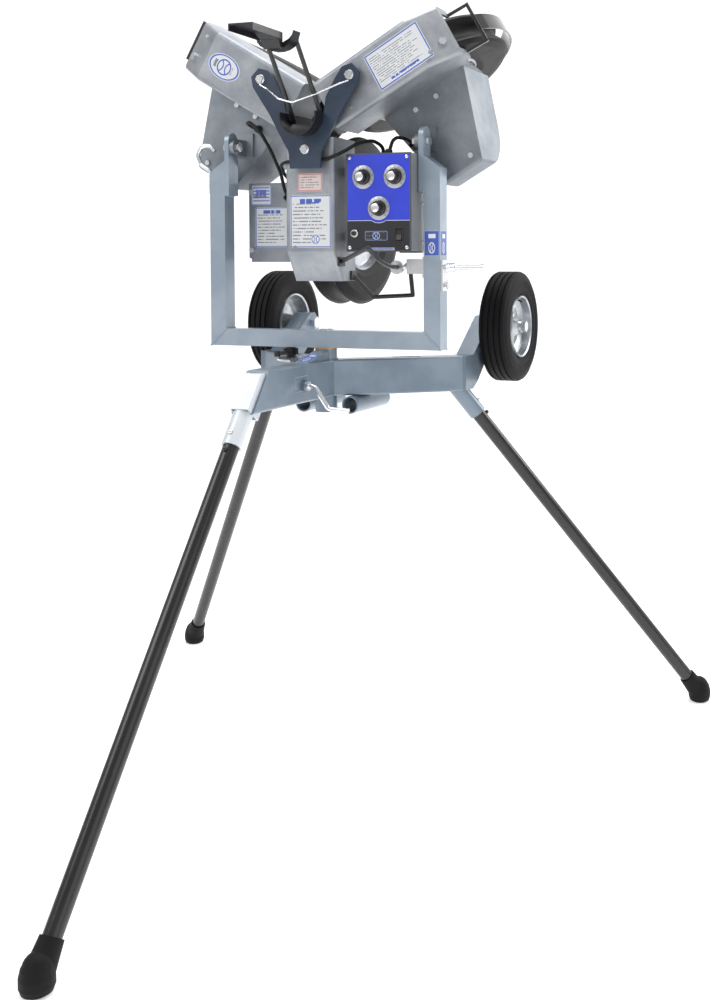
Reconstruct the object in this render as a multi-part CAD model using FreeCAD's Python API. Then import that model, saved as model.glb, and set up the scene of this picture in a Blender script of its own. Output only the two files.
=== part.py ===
"""Three-wheel baseball pitching machine on a tripod: one STEP per piece, millimetres.

Frame: +Z up, +Y is the way the ball is thrown, +X is the operator's right. The model is built round
the swivel axis at x = y = 0 with the floor at z = 0, and save() moves it so that the origin is at the
middle of the footprint.
"""
import FreeCAD, Part
import math
import os
from FreeCAD import Vector as V

# ---------------------------------------------------------------- driving dimensions
FOOTPRINT_Y = 178.0          # the swivel axis stands this far forward of the footprint's middle

# tripod
ARM_TOP = 878.0              # top face of the three arms
ARM_H = 80.0
ARM_W = 50.0
ARM_WALL = 4.0
FRONT_ARM_DEG = 38.0         # front arms point this far forward of the X axis
FRONT_ARM_R = 312.0
REAR_ARM_R = 285.0
REAR_ARM_SLANT = 60.0        # how much longer the rear arm is at its bottom face
POST_OD = 48.0
POST_BOTTOM = 763.0
LEG_OD = 31.75
LEG_ID = 26.0
SOCKET_OD = 39.0
SOCKET_BORE = 32.4
FOOT_R = 917.0               # circle that the three feet stand on
LEG_END_Z = 22.0             # lower end of a leg tube, inside its rubber foot
SLEEVE_X = 57.0              # spare tubes under the base that take the legs as cart handles
SLEEVE_Z = 778.4
SLEEVE_L = 165.0

# transport wheels
TYRE_R = 131.0
TYRE_IN = 268.0
TYRE_W = 72.0
RIM_R = 75.0
WHEEL_Y = 351.0
WHEEL_Z = 937.0
AXLE_D = 16.0

# yoke
YOKE_W = 558.0
TUBE = 38.0
TUBE_WALL = 3.0
YOKE_Z = 904.0
LEG_TOP = 1291.0             # outer side of an upright, the inner side stands CAP_RISE higher
CAP_RISE = 27.0
EAR_T = 11.0
EAR_RISE = 13.0              # round end of an ear above the pivot hole
EAR_FOOT = 1240.0
PIVOT_Z = 1348.0             # tilt axis
SPINDLE_D = 32.0
BUSH_OD = 42.0

# head
BALL_Z = 1400.0              # axis that the ball leaves along
ARM_DEGS = {"lower": 0.0, "right": -120.0, "left": 120.0}
MOTOR_SIDE = {"lower": -1, "right": -1, "left": 1}
WHEEL_R = 190.0              # throwing wheel
WHEEL_RC = 215.0             # its centre from the ball axis
WHEEL_YC = 126.0
WHEEL_W = 75.0
WHEEL_SLOT = 83.0            # slot for the wheel in a housing's end wall
GROOVE = 13.0                # how far the tread is hollowed for the ball
HUB_R = 112.0
HOOP_W = 36.0
HOOP_DEGS = (-28, 112)
SHAFT_D = 16.0
HOUSE_W = 116.0
HOUSE_WALL = 4.5
HOUSE_REAR = -73.0
HOUSE_FRONT = 28.0
HOUSE_R0 = 44.0
HOUSE_R1 = 350.0
CHIN_R = 286.0
CHIN_Y = -34.0
MOUNT_FRONT = 205.0
COVER_REAR = 45.0
COVER_WALL = 4.0
COVER_ROUND = 90.0           # front corner of the far end of an upper cover
COVER_REACH = {"lower": 222.0, "right": 255.0, "left": 255.0}
COVER_D = 158.0              # how deep a cover is along the throw
LOWER_COVER_R = (130.0, 301.0)
UPPER_COVER_NEAR = (108.0, 322.0)
UPPER_COVER_FAR = (153.0, 258.0)
MOTOR_D = 98.0
MOTOR_L = 150.0

# operator side
PLATE_Y = -90.0
PLATE_T = 6.0
BOX_X0, BOX_X1 = 80.0, 228.0
BOX_Y0, BOX_Y1 = -56.0, 28.0
BOX_Z0, BOX_Z1 = 1114.0, 1320.0
PANEL_T = 3.0
DIALS = ((119.0, 1271.0), (192.0, 1271.0), (155.0, 1205.0))
TILT_R = 268.0               # radius of the tilt rod about the tilt axis
TILT_X = 172.0
TILT_ROD_D = 9.5
CHUTE_X = 34.0
CHUTE_D = 9.5
CHUTE_LOW_Y, CHUTE_LOW_Z = -70.0, BALL_Z - 12
CHUTE_TOP_Y, CHUTE_TOP_Z = -188.0, BALL_Z + 146
SADDLE_Y = -214.0
SADDLE_Z = BALL_Z + 156
SADDLE_HALF = 44.0
SHELF_TOP = BALL_Z + 150
SHELF_REAR, SHELF_FRONT = -338.0, -226.0
FIT = 0.05                   # running clearance all round

AX, AY, AZ = V(1, 0, 0), V(0, 1, 0), V(0, 0, 1)
os.makedirs("parts", exist_ok=True)


# ---------------------------------------------------------------- helpers
def save(name, solids):
    """Write one piece, moved so that the origin is at the middle of the footprint."""
    shape = Part.makeCompound(solids) if isinstance(solids, (list, tuple)) else solids
    if shape.ShapeType == "Compound" and len(shape.Solids) == 1:
        shape = shape.Solids[0]
    out = shape.copy()
    out.translate(V(0, FOOTPRINT_Y, 0))
    if not out.isValid():
        print("INVALID", name)
    out.exportStep("parts/" + name + ".step")
    b = out.BoundBox
    print("%-22s %2d solids %9.1f cm3  x %.0f..%.0f y %.0f..%.0f z %.0f..%.0f" % (
        name, len(out.Solids), out.Volume / 1000, b.XMin, b.XMax, b.YMin, b.YMax, b.ZMin, b.ZMax))


def box(x0, x1, y0, y1, z0, z1):
    return Part.makeBox(x1 - x0, y1 - y0, z1 - z0, V(x0, y0, z0))


def rod_x(d, x0, x1, y, z):
    return Part.makeCylinder(d / 2, x1 - x0, V(x0, y, z), AX)


def rod_y(d, y0, y1, x, z):
    return Part.makeCylinder(d / 2, y1 - y0, V(x, y0, z), AY)


def rod_z(d, z0, z1, x, y):
    return Part.makeCylinder(d / 2, z1 - z0, V(x, y, z0), AZ)


def along(d, p, q):
    """Round bar from p to q."""
    return Part.makeCylinder(d / 2, (q - p).Length, p, q - p)


def prism(points, direction):
    """Straight prism on a closed outline."""
    wire = Part.makePolygon(list(points) + [points[0]])
    return Part.Face(wire).extrude(direction)


def hexagon(across, height, p, direction):
    """Hexagon bar, across its flats."""
    r = across / math.sqrt(3)
    pts = [V(r * math.cos(math.radians(60 * i)), r * math.sin(math.radians(60 * i)), 0) for i in range(6)]
    bar = prism(pts, V(0, 0, height))
    bar.Placement = FreeCAD.Placement(p, FreeCAD.Rotation(AZ, direction))
    return bar


def fuse(*shapes):
    out = shapes[0].multiFuse(list(shapes[1:]))
    return out.removeSplitter()


def revolve(points, p, axis):
    """Turn an outline of (radius, along the axis) pairs about an axis at p."""
    flat = [V(r, 0, a) for r, a in points]
    ring = Part.Face(Part.makePolygon(flat + [flat[0]])).revolve(V(0, 0, 0), AZ, 360)
    ring.Placement = FreeCAD.Placement(p, FreeCAD.Rotation(AZ, axis))
    return ring


def bent(points, d, radius):
    """Round bar along a path whose corners are tangent arcs of about the given radius."""
    edges = []
    start = points[0]
    for i in range(1, len(points) - 1):
        a, b, c = points[i - 1], points[i], points[i + 1]
        u = (a - b).normalize()
        w = (c - b).normalize()
        turn = math.pi - u.getAngle(w)
        reach = min(radius * math.tan(turn / 2), 0.45 * min((a - b).Length, (c - b).Length))
        bend = reach / math.tan(turn / 2)
        mid_dir = (u + w).normalize()
        mid = b + mid_dir * (bend / math.cos(turn / 2) - bend)
        p, q = b + u * reach, b + w * reach
        edges.append(Part.LineSegment(start, p).toShape())
        edges.append(Part.Arc(p, mid, q).toShape())
        start = q
    edges.append(Part.LineSegment(start, points[-1]).toShape())
    path = Part.Wire(edges)
    first = (points[1] - points[0]).normalize()
    ring = Part.Wire(Part.makeCircle(d / 2, points[0], first))
    return path.makePipeShell([ring], True, False), path.Length


def bolt(across, head, p, direction, shank_d, shank_l):
    """Hexagon head standing on p along direction, with its shank going the other way."""
    top = hexagon(across, head, p, direction)
    shank = Part.makeCylinder(shank_d / 2, shank_l, p, direction * -1)
    return fuse(top, shank)


def spun(shape, deg, x=0.0, y=0.0):
    out = shape.copy()
    out.rotate(V(x, y, 0), AZ, deg)
    return out


def head_turn(shape, arm):
    """Swing a piece made for the lower arm round the ball axis to another arm."""
    out = shape.copy()
    out.rotate(V(0, 0, BALL_Z), AY, ARM_DEGS[arm])
    return out


def mirrored_x(shape):
    return shape.mirror(V(0, 0, 0), AX)


# ---------------------------------------------------------------- tripod base
def leg_line(arm_deg, socket_r, socket_z):
    """Axis of one leg: a point where it leaves its socket, and the unit vector down to the foot."""
    out = V(math.cos(math.radians(arm_deg)), math.sin(math.radians(arm_deg)), 0)
    mouth = out * socket_r + V(0, 0, socket_z)
    foot = out * FOOT_R + V(0, 0, 31)
    return mouth, (foot - mouth).normalize()


LEGS = {
    "rear": leg_line(270, 383, 740),
    "right": leg_line(FRONT_ARM_DEG, 348, 744),
    "left": leg_line(180 - FRONT_ARM_DEG, 348, 744),
}


def arm_tube(length, slant):
    """Rectangular tube along +X from the post, its outer end cut parallel to the leg."""
    z0, z1 = ARM_TOP - ARM_H, ARM_TOP
    outer = [V(12, -ARM_W / 2, z0), V(length + slant, -ARM_W / 2, z0), V(length, -ARM_W / 2, z1),
             V(12, -ARM_W / 2, z1)]
    body = prism(outer, V(0, ARM_W, 0))
    body = body.makeFillet(5.0, [e for e in body.Edges if abs(e.tangentAt(0).x) > 0.9])
    w = ARM_WALL
    inner = box(0, length + 200, -ARM_W / 2 + w, ARM_W / 2 - w, z0 + w, z1 - w)
    return body.cut(inner)


def base_frame():
    post = rod_z(POST_OD, POST_BOTTOM, YOKE_Z - 3, 0, 0)
    arms = [spun(arm_tube(REAR_ARM_R, REAR_ARM_SLANT), 270)]
    for deg in (FRONT_ARM_DEG, 180 - FRONT_ARM_DEG):
        arm = arm_tube(FRONT_ARM_R, 0)
        slot = box(150, 215, -7, 7, ARM_TOP - 8, ARM_TOP + 2)
        arms.append(spun(arm.cut(slot), deg))
    frame = fuse(post, *arms)
    frame = frame.cut(rod_z(BUSH_OD, POST_BOTTOM - 1, YOKE_Z, 0, 0))
    screw_way = rod_x(12.2, -ARM_W, ARM_W, -146, ARM_TOP - 44)
    frame = frame.cut(screw_way.common(box(0, ARM_W, -400, 0, 700, 900)))
    frame = fuse(frame, crank_boss())
    for name in ("right", "left"):
        mouth, down = LEGS[name]
        frame = frame.cut(along(SOCKET_OD, mouth - down * 130, mouth + down * 5))
    return frame.cut(under_arm_top(fuse(*rear_envelope())))


def front_sockets():
    out = []
    for name in ("right", "left"):
        mouth, down = LEGS[name]
        tube = along(SOCKET_OD, mouth - down * 118, mouth)
        bore = along(SOCKET_BORE, mouth - down * 112, mouth + down * 1)
        out.append(tube.cut(bore).cut(button_way(name)))
    return out


def rear_sides():
    """Unit vectors of the rear bracket: across the arm, and square to the leg towards the rear."""
    down = LEGS["rear"][1]
    back = down.cross(AX).normalize()
    return AX, back * (-1 if back.y > 0 else 1)


def rear_channel_corners():
    mouth, down = LEGS["rear"]
    side, back = rear_sides()
    half = ARM_W / 2 - ARM_WALL - 0.1
    top = mouth - down * 168
    return top, [top - side * half - back * 24, top + side * half - back * 24,
                 top + side * half + back * 21, top - side * half + back * 21]


def rear_envelope():
    """Outside of the rear bracket, before it is hollowed: channel and tube."""
    mouth, down = LEGS["rear"]
    channel = prism(rear_channel_corners()[1], down * 96)
    tube = along(SOCKET_OD, mouth - down * 165, mouth)
    return channel, tube


def under_arm_top(shape):
    return shape.common(box(-40, 40, -600, -200, 600, ARM_TOP - ARM_WALL - 0.1))


def rear_socket():
    """Folded channel that stands in the rear arm's open end, with the leg's tube welded in it."""
    mouth, down = LEGS["rear"]
    side, back = rear_sides()
    top, corner = rear_channel_corners()
    channel, tube = rear_envelope()
    hollow = [p + side * (3 if (p - top).dot(side) < 0 else -3) for p in corner]
    hollow = [p + back * (3 if (p - top).dot(back) < 0 else -3) for p in hollow]
    channel = channel.cut(prism([p - down for p in hollow], down * 105.6))
    bore = along(SOCKET_BORE, mouth - down * 160, mouth + down)
    half = ARM_W / 2 - ARM_WALL - 0.1
    roof_z = ARM_TOP - ARM_WALL - 0.1
    roof = box(-half, half, -REAR_ARM_R - 12, -REAR_ARM_R + 70, roof_z - 3, roof_z)
    bracket = fuse(channel, tube, roof).cut(bore)
    return under_arm_top(bracket).cut(button_way("rear"))


def button_way(name, d=9.6):
    """Hole for the snap button, through the outer wall of a socket."""
    p, n = button_place(name)
    return Part.makeCylinder(d / 2, 14, p + n * (LEG_OD / 2 - 4), n)


def button_place(name):
    """Foot of the snap button on the leg's axis, and the way it points."""
    mouth, down = LEGS[name]
    across = down.cross(AZ).normalize()
    out = across.cross(down).normalize()
    if out.z < 0:
        out = out * -1
    return mouth - down * 22, out


def leg_tube(name):
    mouth, down = LEGS[name]
    length = (mouth.z - LEG_END_Z) / -down.z
    start = mouth - down * 108
    tube = along(LEG_OD, start, mouth + down * length)
    tube = tube.cut(along(LEG_ID, start - down, mouth + down * (length + 1)))
    p, n = button_place(name)
    tube = tube.cut(Part.makeCylinder(4.55, 30, p, n))
    stop = mouth + down * 13
    return tube.cut(Part.makeCylinder(4.5, 30, stop, n))


def leg_stop(name):
    """Domed stop just below the socket's mouth."""
    mouth, down = LEGS[name]
    p, n = button_place(name)
    stop = mouth + down * 13
    stud = Part.makeCylinder(4.5, LEG_OD / 2 + 2.5 - 12, stop + n * 12, n)
    cap = Part.makeSphere(4.5, stop + n * (LEG_OD / 2 + 2.5))
    return fuse(stud, cap)


def snap_button(name):
    p, n = button_place(name)
    stud = Part.makeCylinder(4.5, SOCKET_OD / 2 + 1.5 - 9, p + n * 9, n)
    dome = Part.makeSphere(4.5, p + n * (SOCKET_OD / 2 + 1.5))
    return fuse(stud, dome)


def rubber_foot(name):
    """Pear-shaped tip, upright on the floor and sleeved over the leg."""
    mouth, down = LEGS[name]
    end = mouth + down * ((mouth.z - LEG_END_Z) / -down.z)
    sole = V(end.x, end.y, 0)
    heel = revolve([(0, 0), (18, 0), (24, 4), (27, 13), (27, 27), (24, 40), (18, 50), (0, 50)], sole, AZ)
    ball = Part.makeSphere(24, end + V(0, 0, 12) - down * 4)
    neck = Part.makeCone(23.5, 19.5, 44, end + down * -12, down * -1)
    body = fuse(heel, ball, neck)
    return body.cut(along(LEG_OD, end, end - down * 200))


def wheel_strut(side):
    """Box strut from the end of a front arm up to the transport wheel's axle."""
    x0 = 222.0
    pts = [V(x0, 168, ARM_TOP - ARM_H + 2), V(x0, 214, ARM_TOP - ARM_H + 2), V(x0, 245, ARM_TOP - 62),
           V(x0, 372, WHEEL_Z - 18), V(x0, 378, WHEEL_Z + 6), V(x0, 360, WHEEL_Z + 26),
           V(x0, 336, WHEEL_Z + 24), V(x0, 215, ARM_TOP), V(x0, 168, ARM_TOP)]
    strut = prism(pts, V(42, 0, 0))
    inner = prism([V(x0 + 4, 214, ARM_TOP - 62), V(x0 + 4, 240, ARM_TOP - 54), V(x0 + 4, 354, WHEEL_Z - 24),
                   V(x0 + 4, 338, WHEEL_Z + 12), V(x0 + 4, 222, ARM_TOP - 10), V(x0 + 4, 214,
                                                                                 ARM_TOP - 14)],
                  V(34, 0, 0))
    strut = strut.cut(inner)
    strut = strut.cut(rod_x(AXLE_D, x0 - 1, x0 + 60, WHEEL_Y, WHEEL_Z))
    arm = box(0, FRONT_ARM_R, -ARM_W / 2, ARM_W / 2, ARM_TOP - ARM_H, ARM_TOP)
    strut = strut.cut(spun(arm, FRONT_ARM_DEG))
    mouth, down = LEGS["right"]
    strut = strut.cut(along(SOCKET_OD + 0.2, mouth - down * 190, mouth + down * 20))
    strut = max(strut.Solids, key=lambda s: s.Volume)
    return strut if side > 0 else mirrored_x(strut)


def wheel_axle(side):
    """Axle bolt: head on the strut's inner face, nut outside the wheel."""
    shaft = rod_x(AXLE_D, 222, 347, WHEEL_Y, WHEEL_Z)
    head = hexagon(27, 11, V(222, WHEEL_Y, WHEEL_Z), AX * -1)
    nut = hexagon(24, 9, V(338.5, WHEEL_Y, WHEEL_Z), AX)
    spacer = rod_x(24, 264, 267, WHEEL_Y, WHEEL_Z)
    axle = fuse(shaft, head, nut, spacer)
    return axle if side > 0 else mirrored_x(axle)


def transport_tyre(side):
    """Ribbed semi-pneumatic tyre with four grooves round its tread."""
    half = TYRE_W / 2
    pts = [(RIM_R, -half + 9), (RIM_R + 12, -half + 3), (RIM_R + 34, -half), (TYRE_R - 14, -half + 1.5),
           (TYRE_R - 3, -half + 7)]
    for i in range(4):
        a = -half + 15 + i * 14
        pts += [(TYRE_R, a - 2.2), (TYRE_R - 3.5, a - 1.4), (TYRE_R - 3.5, a + 1.4), (TYRE_R, a + 2.2)]
    pts += [(TYRE_R - 3, half - 7), (TYRE_R - 14, half - 1.5), (RIM_R + 34, half), (RIM_R + 12, half - 3),
            (RIM_R, half - 9)]
    tyre = revolve(pts, V(TYRE_IN + half, WHEEL_Y, WHEEL_Z), AX)
    return tyre if side > 0 else mirrored_x(tyre)


def transport_rim(side):
    """Pressed steel rim: lipped band, dished web with a hub tube."""
    half = TYRE_W / 2
    bore = AXLE_D / 2 + FIT
    pts = [(RIM_R, -half + 9), (RIM_R, half - 9), (RIM_R - 2, half - 3), (RIM_R - 6, half - 5),
           (RIM_R - 8, half - 22), (RIM_R - 26, half - 30), (26, half - 22), (17, half - 10),
           (15, half - 2), (bore, half - 2), (bore, -half - 0.8), (15, -half - 0.8), (17, -half + 10),
           (26, half - 26), (RIM_R - 26, half - 34), (RIM_R - 9, half - 36), (RIM_R - 8, -half + 22),
           (RIM_R - 6, -half + 5), (RIM_R - 2, -half + 3)]
    rim = revolve(pts, V(TYRE_IN + half, WHEEL_Y, WHEEL_Z), AX)
    return rim if side > 0 else mirrored_x(rim)


def storage_sleeves():
    out = []
    for x in (-SLEEVE_X, SLEEVE_X):
        tube = rod_y(SOCKET_OD, 0, SLEEVE_L, x, SLEEVE_Z)
        out.append(tube.cut(rod_y(SOCKET_BORE, -1, SLEEVE_L + 1, x, SLEEVE_Z)))
    return out


def post_gusset():
    """Wedge between the post and the rear arm; its sloping top carries a label."""
    wedge = prism([V(-16, -POST_OD / 2 - 90, ARM_TOP), V(-16, -18, ARM_TOP), V(-16, -18, YOKE_Z - 5)],
                  V(32, 0, 0))
    return wedge.cut(rod_z(POST_OD, 860, 910, 0, 0))


def swivel_bushes():
    flanged = [(SPINDLE_D / 2 + FIT, 0), (BUSH_OD / 2, 0), (BUSH_OD / 2, 26), (SPINDLE_D / 2 + FIT, 26)]
    top = revolve(flanged, V(0, 0, YOKE_Z - 29), AZ)
    low = revolve(flanged, V(0, 0, POST_BOTTOM + 4), AZ)
    washer = revolve([(SPINDLE_D / 2 + 0.3, 0), (POST_OD / 2, 0), (POST_OD / 2, 2.9),
                      (SPINDLE_D / 2 + 0.3, 2.9)],
                     V(0, 0, YOKE_Z - 3), AZ)
    return [top, low, washer]


def lock_quadrant():
    """Zinc sector on the base that the swivel lock's screw bears on."""
    ring = revolve([(64, 0), (106, 0), (106, 4), (64, 4)], V(0, 0, ARM_TOP), AZ)
    wedge = prism([V(0, 0, 860)] + [V(200 * math.cos(math.radians(a)), 200 * math.sin(math.radians(a)), 860)
                                    for a in (118, 150, 187, 220, 252)], V(0, 0, 60))
    return ring.common(wedge)


# ---------------------------------------------------------------- yoke
def yoke_upright(side):
    """One upright, mitred at the foot, its closed top sloping down to the outside."""
    x_out, x_in = YOKE_W / 2, YOKE_W / 2 - TUBE
    pts = [V(x_out, -TUBE / 2, YOKE_Z), V(x_in, -TUBE / 2, YOKE_Z + TUBE),
           V(x_in, -TUBE / 2, LEG_TOP + CAP_RISE),
           V(x_out, -TUBE / 2, LEG_TOP)]
    body = prism(pts, V(0, TUBE, 0))
    w = TUBE_WALL
    hollow = box(x_in + w, x_out - w, -TUBE / 2 + w, TUBE / 2 - w, YOKE_Z + 60, LEG_TOP - w)
    body = body.cut(hollow)
    return body if side > 0 else mirrored_x(body)


def yoke_frame():
    x_out, x_in = YOKE_W / 2, YOKE_W / 2 - TUBE
    cross = prism([V(-x_out, -TUBE / 2, YOKE_Z), V(-x_in, -TUBE / 2, YOKE_Z + TUBE),
                   V(x_in, -TUBE / 2, YOKE_Z + TUBE),
                   V(x_out, -TUBE / 2, YOKE_Z)], V(0, TUBE, 0))
    w = TUBE_WALL
    cross = cross.cut(box(-x_in - 10, x_in + 10, -TUBE / 2 + w, TUBE / 2 - w, YOKE_Z + w,
                          YOKE_Z + TUBE - w))
    frame = fuse(cross, yoke_upright(1), yoke_upright(-1))
    frame = frame.cut(rod_z(SPINDLE_D, YOKE_Z - 1, YOKE_Z + TUBE + 1, 0, 0))
    frame = frame.cut(rod_x(10.4, x_in - 1, x_out + 1, 0, PIVOT_Z - TILT_R))
    return frame


def yoke_ear(side):
    """Bar with a round end that carries the tilt pivot, welded inside the upright."""
    x_in = YOKE_W / 2 - TUBE
    top = PIVOT_Z + EAR_RISE
    bar = fuse(box(x_in - EAR_T, x_in, -TUBE / 2, TUBE / 2, EAR_FOOT, top),
               rod_x(TUBE, x_in - EAR_T, x_in, 0, top))
    bar = bar.cut(rod_x(12.1, 0, 400, 0, PIVOT_Z))
    return bar if side > 0 else mirrored_x(bar)


def yoke_spindle():
    spindle = rod_z(SPINDLE_D, POST_BOTTOM + 2, YOKE_Z + TUBE + 3, 0, 0)
    return spindle.makeChamfer(1.5, [e for e in spindle.Edges if len(e.Vertexes) == 1])


def tilt_clamp_bracket():
    """Folded zinc guide inside the right upright that keeps the eye bolt in line."""
    x_in = YOKE_W / 2 - TUBE
    z = PIVOT_Z - TILT_R
    back = box(x_in - 4, x_in, -17, 17, z - 22, z + 22)
    ways = [box(x_in - 40, x_in - 4, -17, -13, z - 14, z + 14),
            box(x_in - 40, x_in - 4, 13, 17, z - 14, z + 14)]
    roof = box(x_in - 40, x_in, -17, 17, z + 14, z + 18)
    nose = box(x_in - 40, x_in - 36, -17, 17, z - 14, z + 18)
    bracket = fuse(back, roof, nose, *ways)
    return bracket.cut(rod_x(10.4, x_in - 50, x_in + 5, 0, z))


def tilt_eye_bolt():
    """Eye round the tilt rod with a screw through the upright."""
    z = PIVOT_Z - TILT_R
    ring = rod_y(30, -5, 5, TILT_X, z)
    shank = rod_x(10, TILT_X + 12, YOKE_W / 2 + 20, 0, z)
    return fuse(ring, shank).cut(rod_y(TILT_ROD_D + 1.4, -8, 8, TILT_X, z))


def tilt_plate():
    """Outer backing plate of the tilt clamp, with its bolt."""
    x = YOKE_W / 2
    z = PIVOT_Z - TILT_R
    plate = box(x, x + 5, -17, 17, z - 50, z + 16).cut(rod_x(10.4, x - 1, x + 6, 0, z))
    return [plate, hexagon(13, 6, V(x + 5, 0, z - 38), AX)]


def tilt_handle():
    """Barrel nut with a long grip and a cross bar; it turns on the eye bolt."""
    x = YOKE_W / 2 + 5.2
    z = PIVOT_Z - TILT_R
    barrel = rod_x(20, x, x + 22, 0, z)
    grip = rod_x(12, x + 22, x + 84, 0, z)
    cap = rod_x(15, x + 80, x + 87, 0, z)
    bar = rod_y(8, -38, 38, x + 12, z)
    return fuse(barrel, grip, cap, bar).cut(rod_x(10 + 2 * FIT, x - 1, x + 15.5, 0, z))


def cord_hook():
    """Open steel hook on a plate at the top of the left upright, for the coiled power cord."""
    x = -YOKE_W / 2
    plate = box(x - 4, x, -15, 15, LEG_TOP - 46, LEG_TOP - 4)
    pts = [V(x - 2, 0, LEG_TOP - 8), V(x - 14, 0, LEG_TOP + 8), V(x - 36, 0, LEG_TOP + 22),
           V(x - 44, 0, LEG_TOP + 44), V(x - 30, 0, LEG_TOP + 64), V(x - 8, 0, LEG_TOP + 62), V(x + 2, 0,
                                                                                                LEG_TOP + 50)]
    hook, _ = bent(pts, 9, 16)
    stud = hexagon(13, 6, V(x - 4, 0, LEG_TOP - 30), AX * -1)
    hook = hook.cut(box(x, x + 20, -15, 15, LEG_TOP - 46, LEG_TOP + 10))
    return [fuse(plate, hook), stud]


def swivel_lock_knob():
    """Five-lobed black knob on a screw, under the yoke's cross tube."""
    x, y = -86.0, -2.0
    grip = rod_z(22, YOKE_Z - 21.4, YOKE_Z - 0.4, x, y)
    for i in range(5):
        a = math.radians(72 * i)
        grip = fuse(grip, rod_z(11, YOKE_Z - 17, YOKE_Z - 4, x + 12 * math.cos(a), y + 12 * math.sin(a)))
    lever = fuse(box(x - 5, x + 5, y - 62, y - 8, YOKE_Z - 16, YOKE_Z - 8),
                 rod_z(14, YOKE_Z - 18, YOKE_Z - 6, x, y - 60))
    return fuse(grip, lever)


def clamp_crank():
    """Cranked bar that screws into the rear arm and clamps the rear leg bracket."""
    y, z = -146.0, ARM_TOP - 44
    pts = [V(14, y, z), V(50, y, z), V(82, y, z - 46), V(128, y, z - 48)]
    bar, _ = bent(pts, 10, 14)
    collar = rod_x(19, ARM_W / 2 + 6.4, ARM_W / 2 + 13, y, z)
    return fuse(bar, collar)


def crank_boss():
    """Weld nut for the crank on the side of the rear arm."""
    y, z = -146.0, ARM_TOP - 44
    nut = hexagon(22, 6, V(ARM_W / 2, y, z), AX)
    return nut.cut(rod_x(10 + 2 * FIT, 0, 60, y, z))


# ---------------------------------------------------------------- head: housings, motors, wheels
def zr(r):
    """Height of a point at radius r on the lower arm."""
    return BALL_Z - r


def housing(arm):
    """Cast box shell of one arm, open to the front, with the motor's wall carried forward."""
    half = HOUSE_W / 2
    outline = [(HOUSE_REAR, HOUSE_R0), (HOUSE_REAR, CHIN_R), (CHIN_Y, HOUSE_R1), (HOUSE_FRONT, HOUSE_R1),
               (HOUSE_FRONT, HOUSE_R0)]
    solid = prism([V(-half, y, zr(r)) for y, r in outline], V(HOUSE_W, 0, 0))
    soft = [e for e in solid.Edges if max(v.Point.y for v in e.Vertexes) < HOUSE_FRONT - 1
            and abs(e.tangentAt(0).x) < 0.1]
    solid = solid.makeFillet(10.0, soft)
    w = HOUSE_WALL
    inner = [(HOUSE_REAR + w, HOUSE_R0 + w), (HOUSE_REAR + w, CHIN_R - 2), (CHIN_Y + w, HOUSE_R1 - w),
             (HOUSE_FRONT + 5, HOUSE_R1 - w), (HOUSE_FRONT + 5, HOUSE_R0 + w)]
    cavity = prism([V(-half + w, y, zr(r)) for y, r in inner], V(HOUSE_W - 2 * w, 0, 0))
    shell = solid.cut(cavity.makeFillet(6.0, [e for e in cavity.Edges if abs(e.tangentAt(0).x) < 0.1
                                              and max(v.Point.y for v in e.Vertexes) < HOUSE_FRONT + 1]))
    side = MOTOR_SIDE[arm]
    x0 = side * half
    wall_pts = [(-20, 104), (HOUSE_FRONT + 40, 104), (MOUNT_FRONT - 30, 120), (MOUNT_FRONT, 160),
                (MOUNT_FRONT, 280),
                (MOUNT_FRONT - 40, 322), (HOUSE_FRONT, 336), (-20, 336)]
    wall = prism([V(x0, y, zr(r)) for y, r in wall_pts], V(-side * 7, 0, 0))
    shell = fuse(shell, wall)
    shell = shell.cut(rod_x(2 * WHEEL_R + 14, -WHEEL_SLOT / 2, WHEEL_SLOT / 2, WHEEL_YC, zr(WHEEL_RC)))
    shell = shell.cut(rod_x(62, -200, 200, WHEEL_YC, zr(WHEEL_RC)).common(
        box(min(x0, x0 - side * 8) - 0.5, max(x0, x0 - side * 8) + 0.5, -400, 400, 0, 2000)))
    boss_x, boss_z = {"lower": (0, -70), "right": (18.5, -132), "left": (-18.5, -132)}[arm]
    shell = fuse(shell, rod_y(28, PLATE_Y + PLATE_T, HOUSE_REAR + 2, boss_x, BALL_Z + boss_z))
    return head_turn(shell, arm)


def cover_outline(arm, inset=0.0):
    """Motor cover seen along the throw: (x, r) corners, upper covers narrow to their far end."""
    side = MOTOR_SIDE[arm]
    near, far = HOUSE_W / 2 + (0 if inset == 0 else -1), COVER_REACH[arm] - inset
    if arm == "lower":
        low, high = LOWER_COVER_R
        low_near, low_far, high_near, high_far = low, low, high, high
    else:
        (low_near, high_near), (low_far, high_far) = UPPER_COVER_NEAR, UPPER_COVER_FAR
    return [(side * near, low_near + inset), (side * far, low_far + inset),
            (side * far, high_far - inset), (side * near, high_near - inset)]


def far_edges(shape, reach):
    """Edges that lie on the far end of a cover."""
    return [e for e in shape.Edges if all(abs(v.Point.x) > reach - 1 for v in e.Vertexes)]


def far_front(shape, reach):
    """Edge where the far end of a cover meets its front."""
    return [e for e in far_edges(shape, reach)
            if all(v.Point.y > COVER_REAR + COVER_D / 2 for v in e.Vertexes)]


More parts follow.
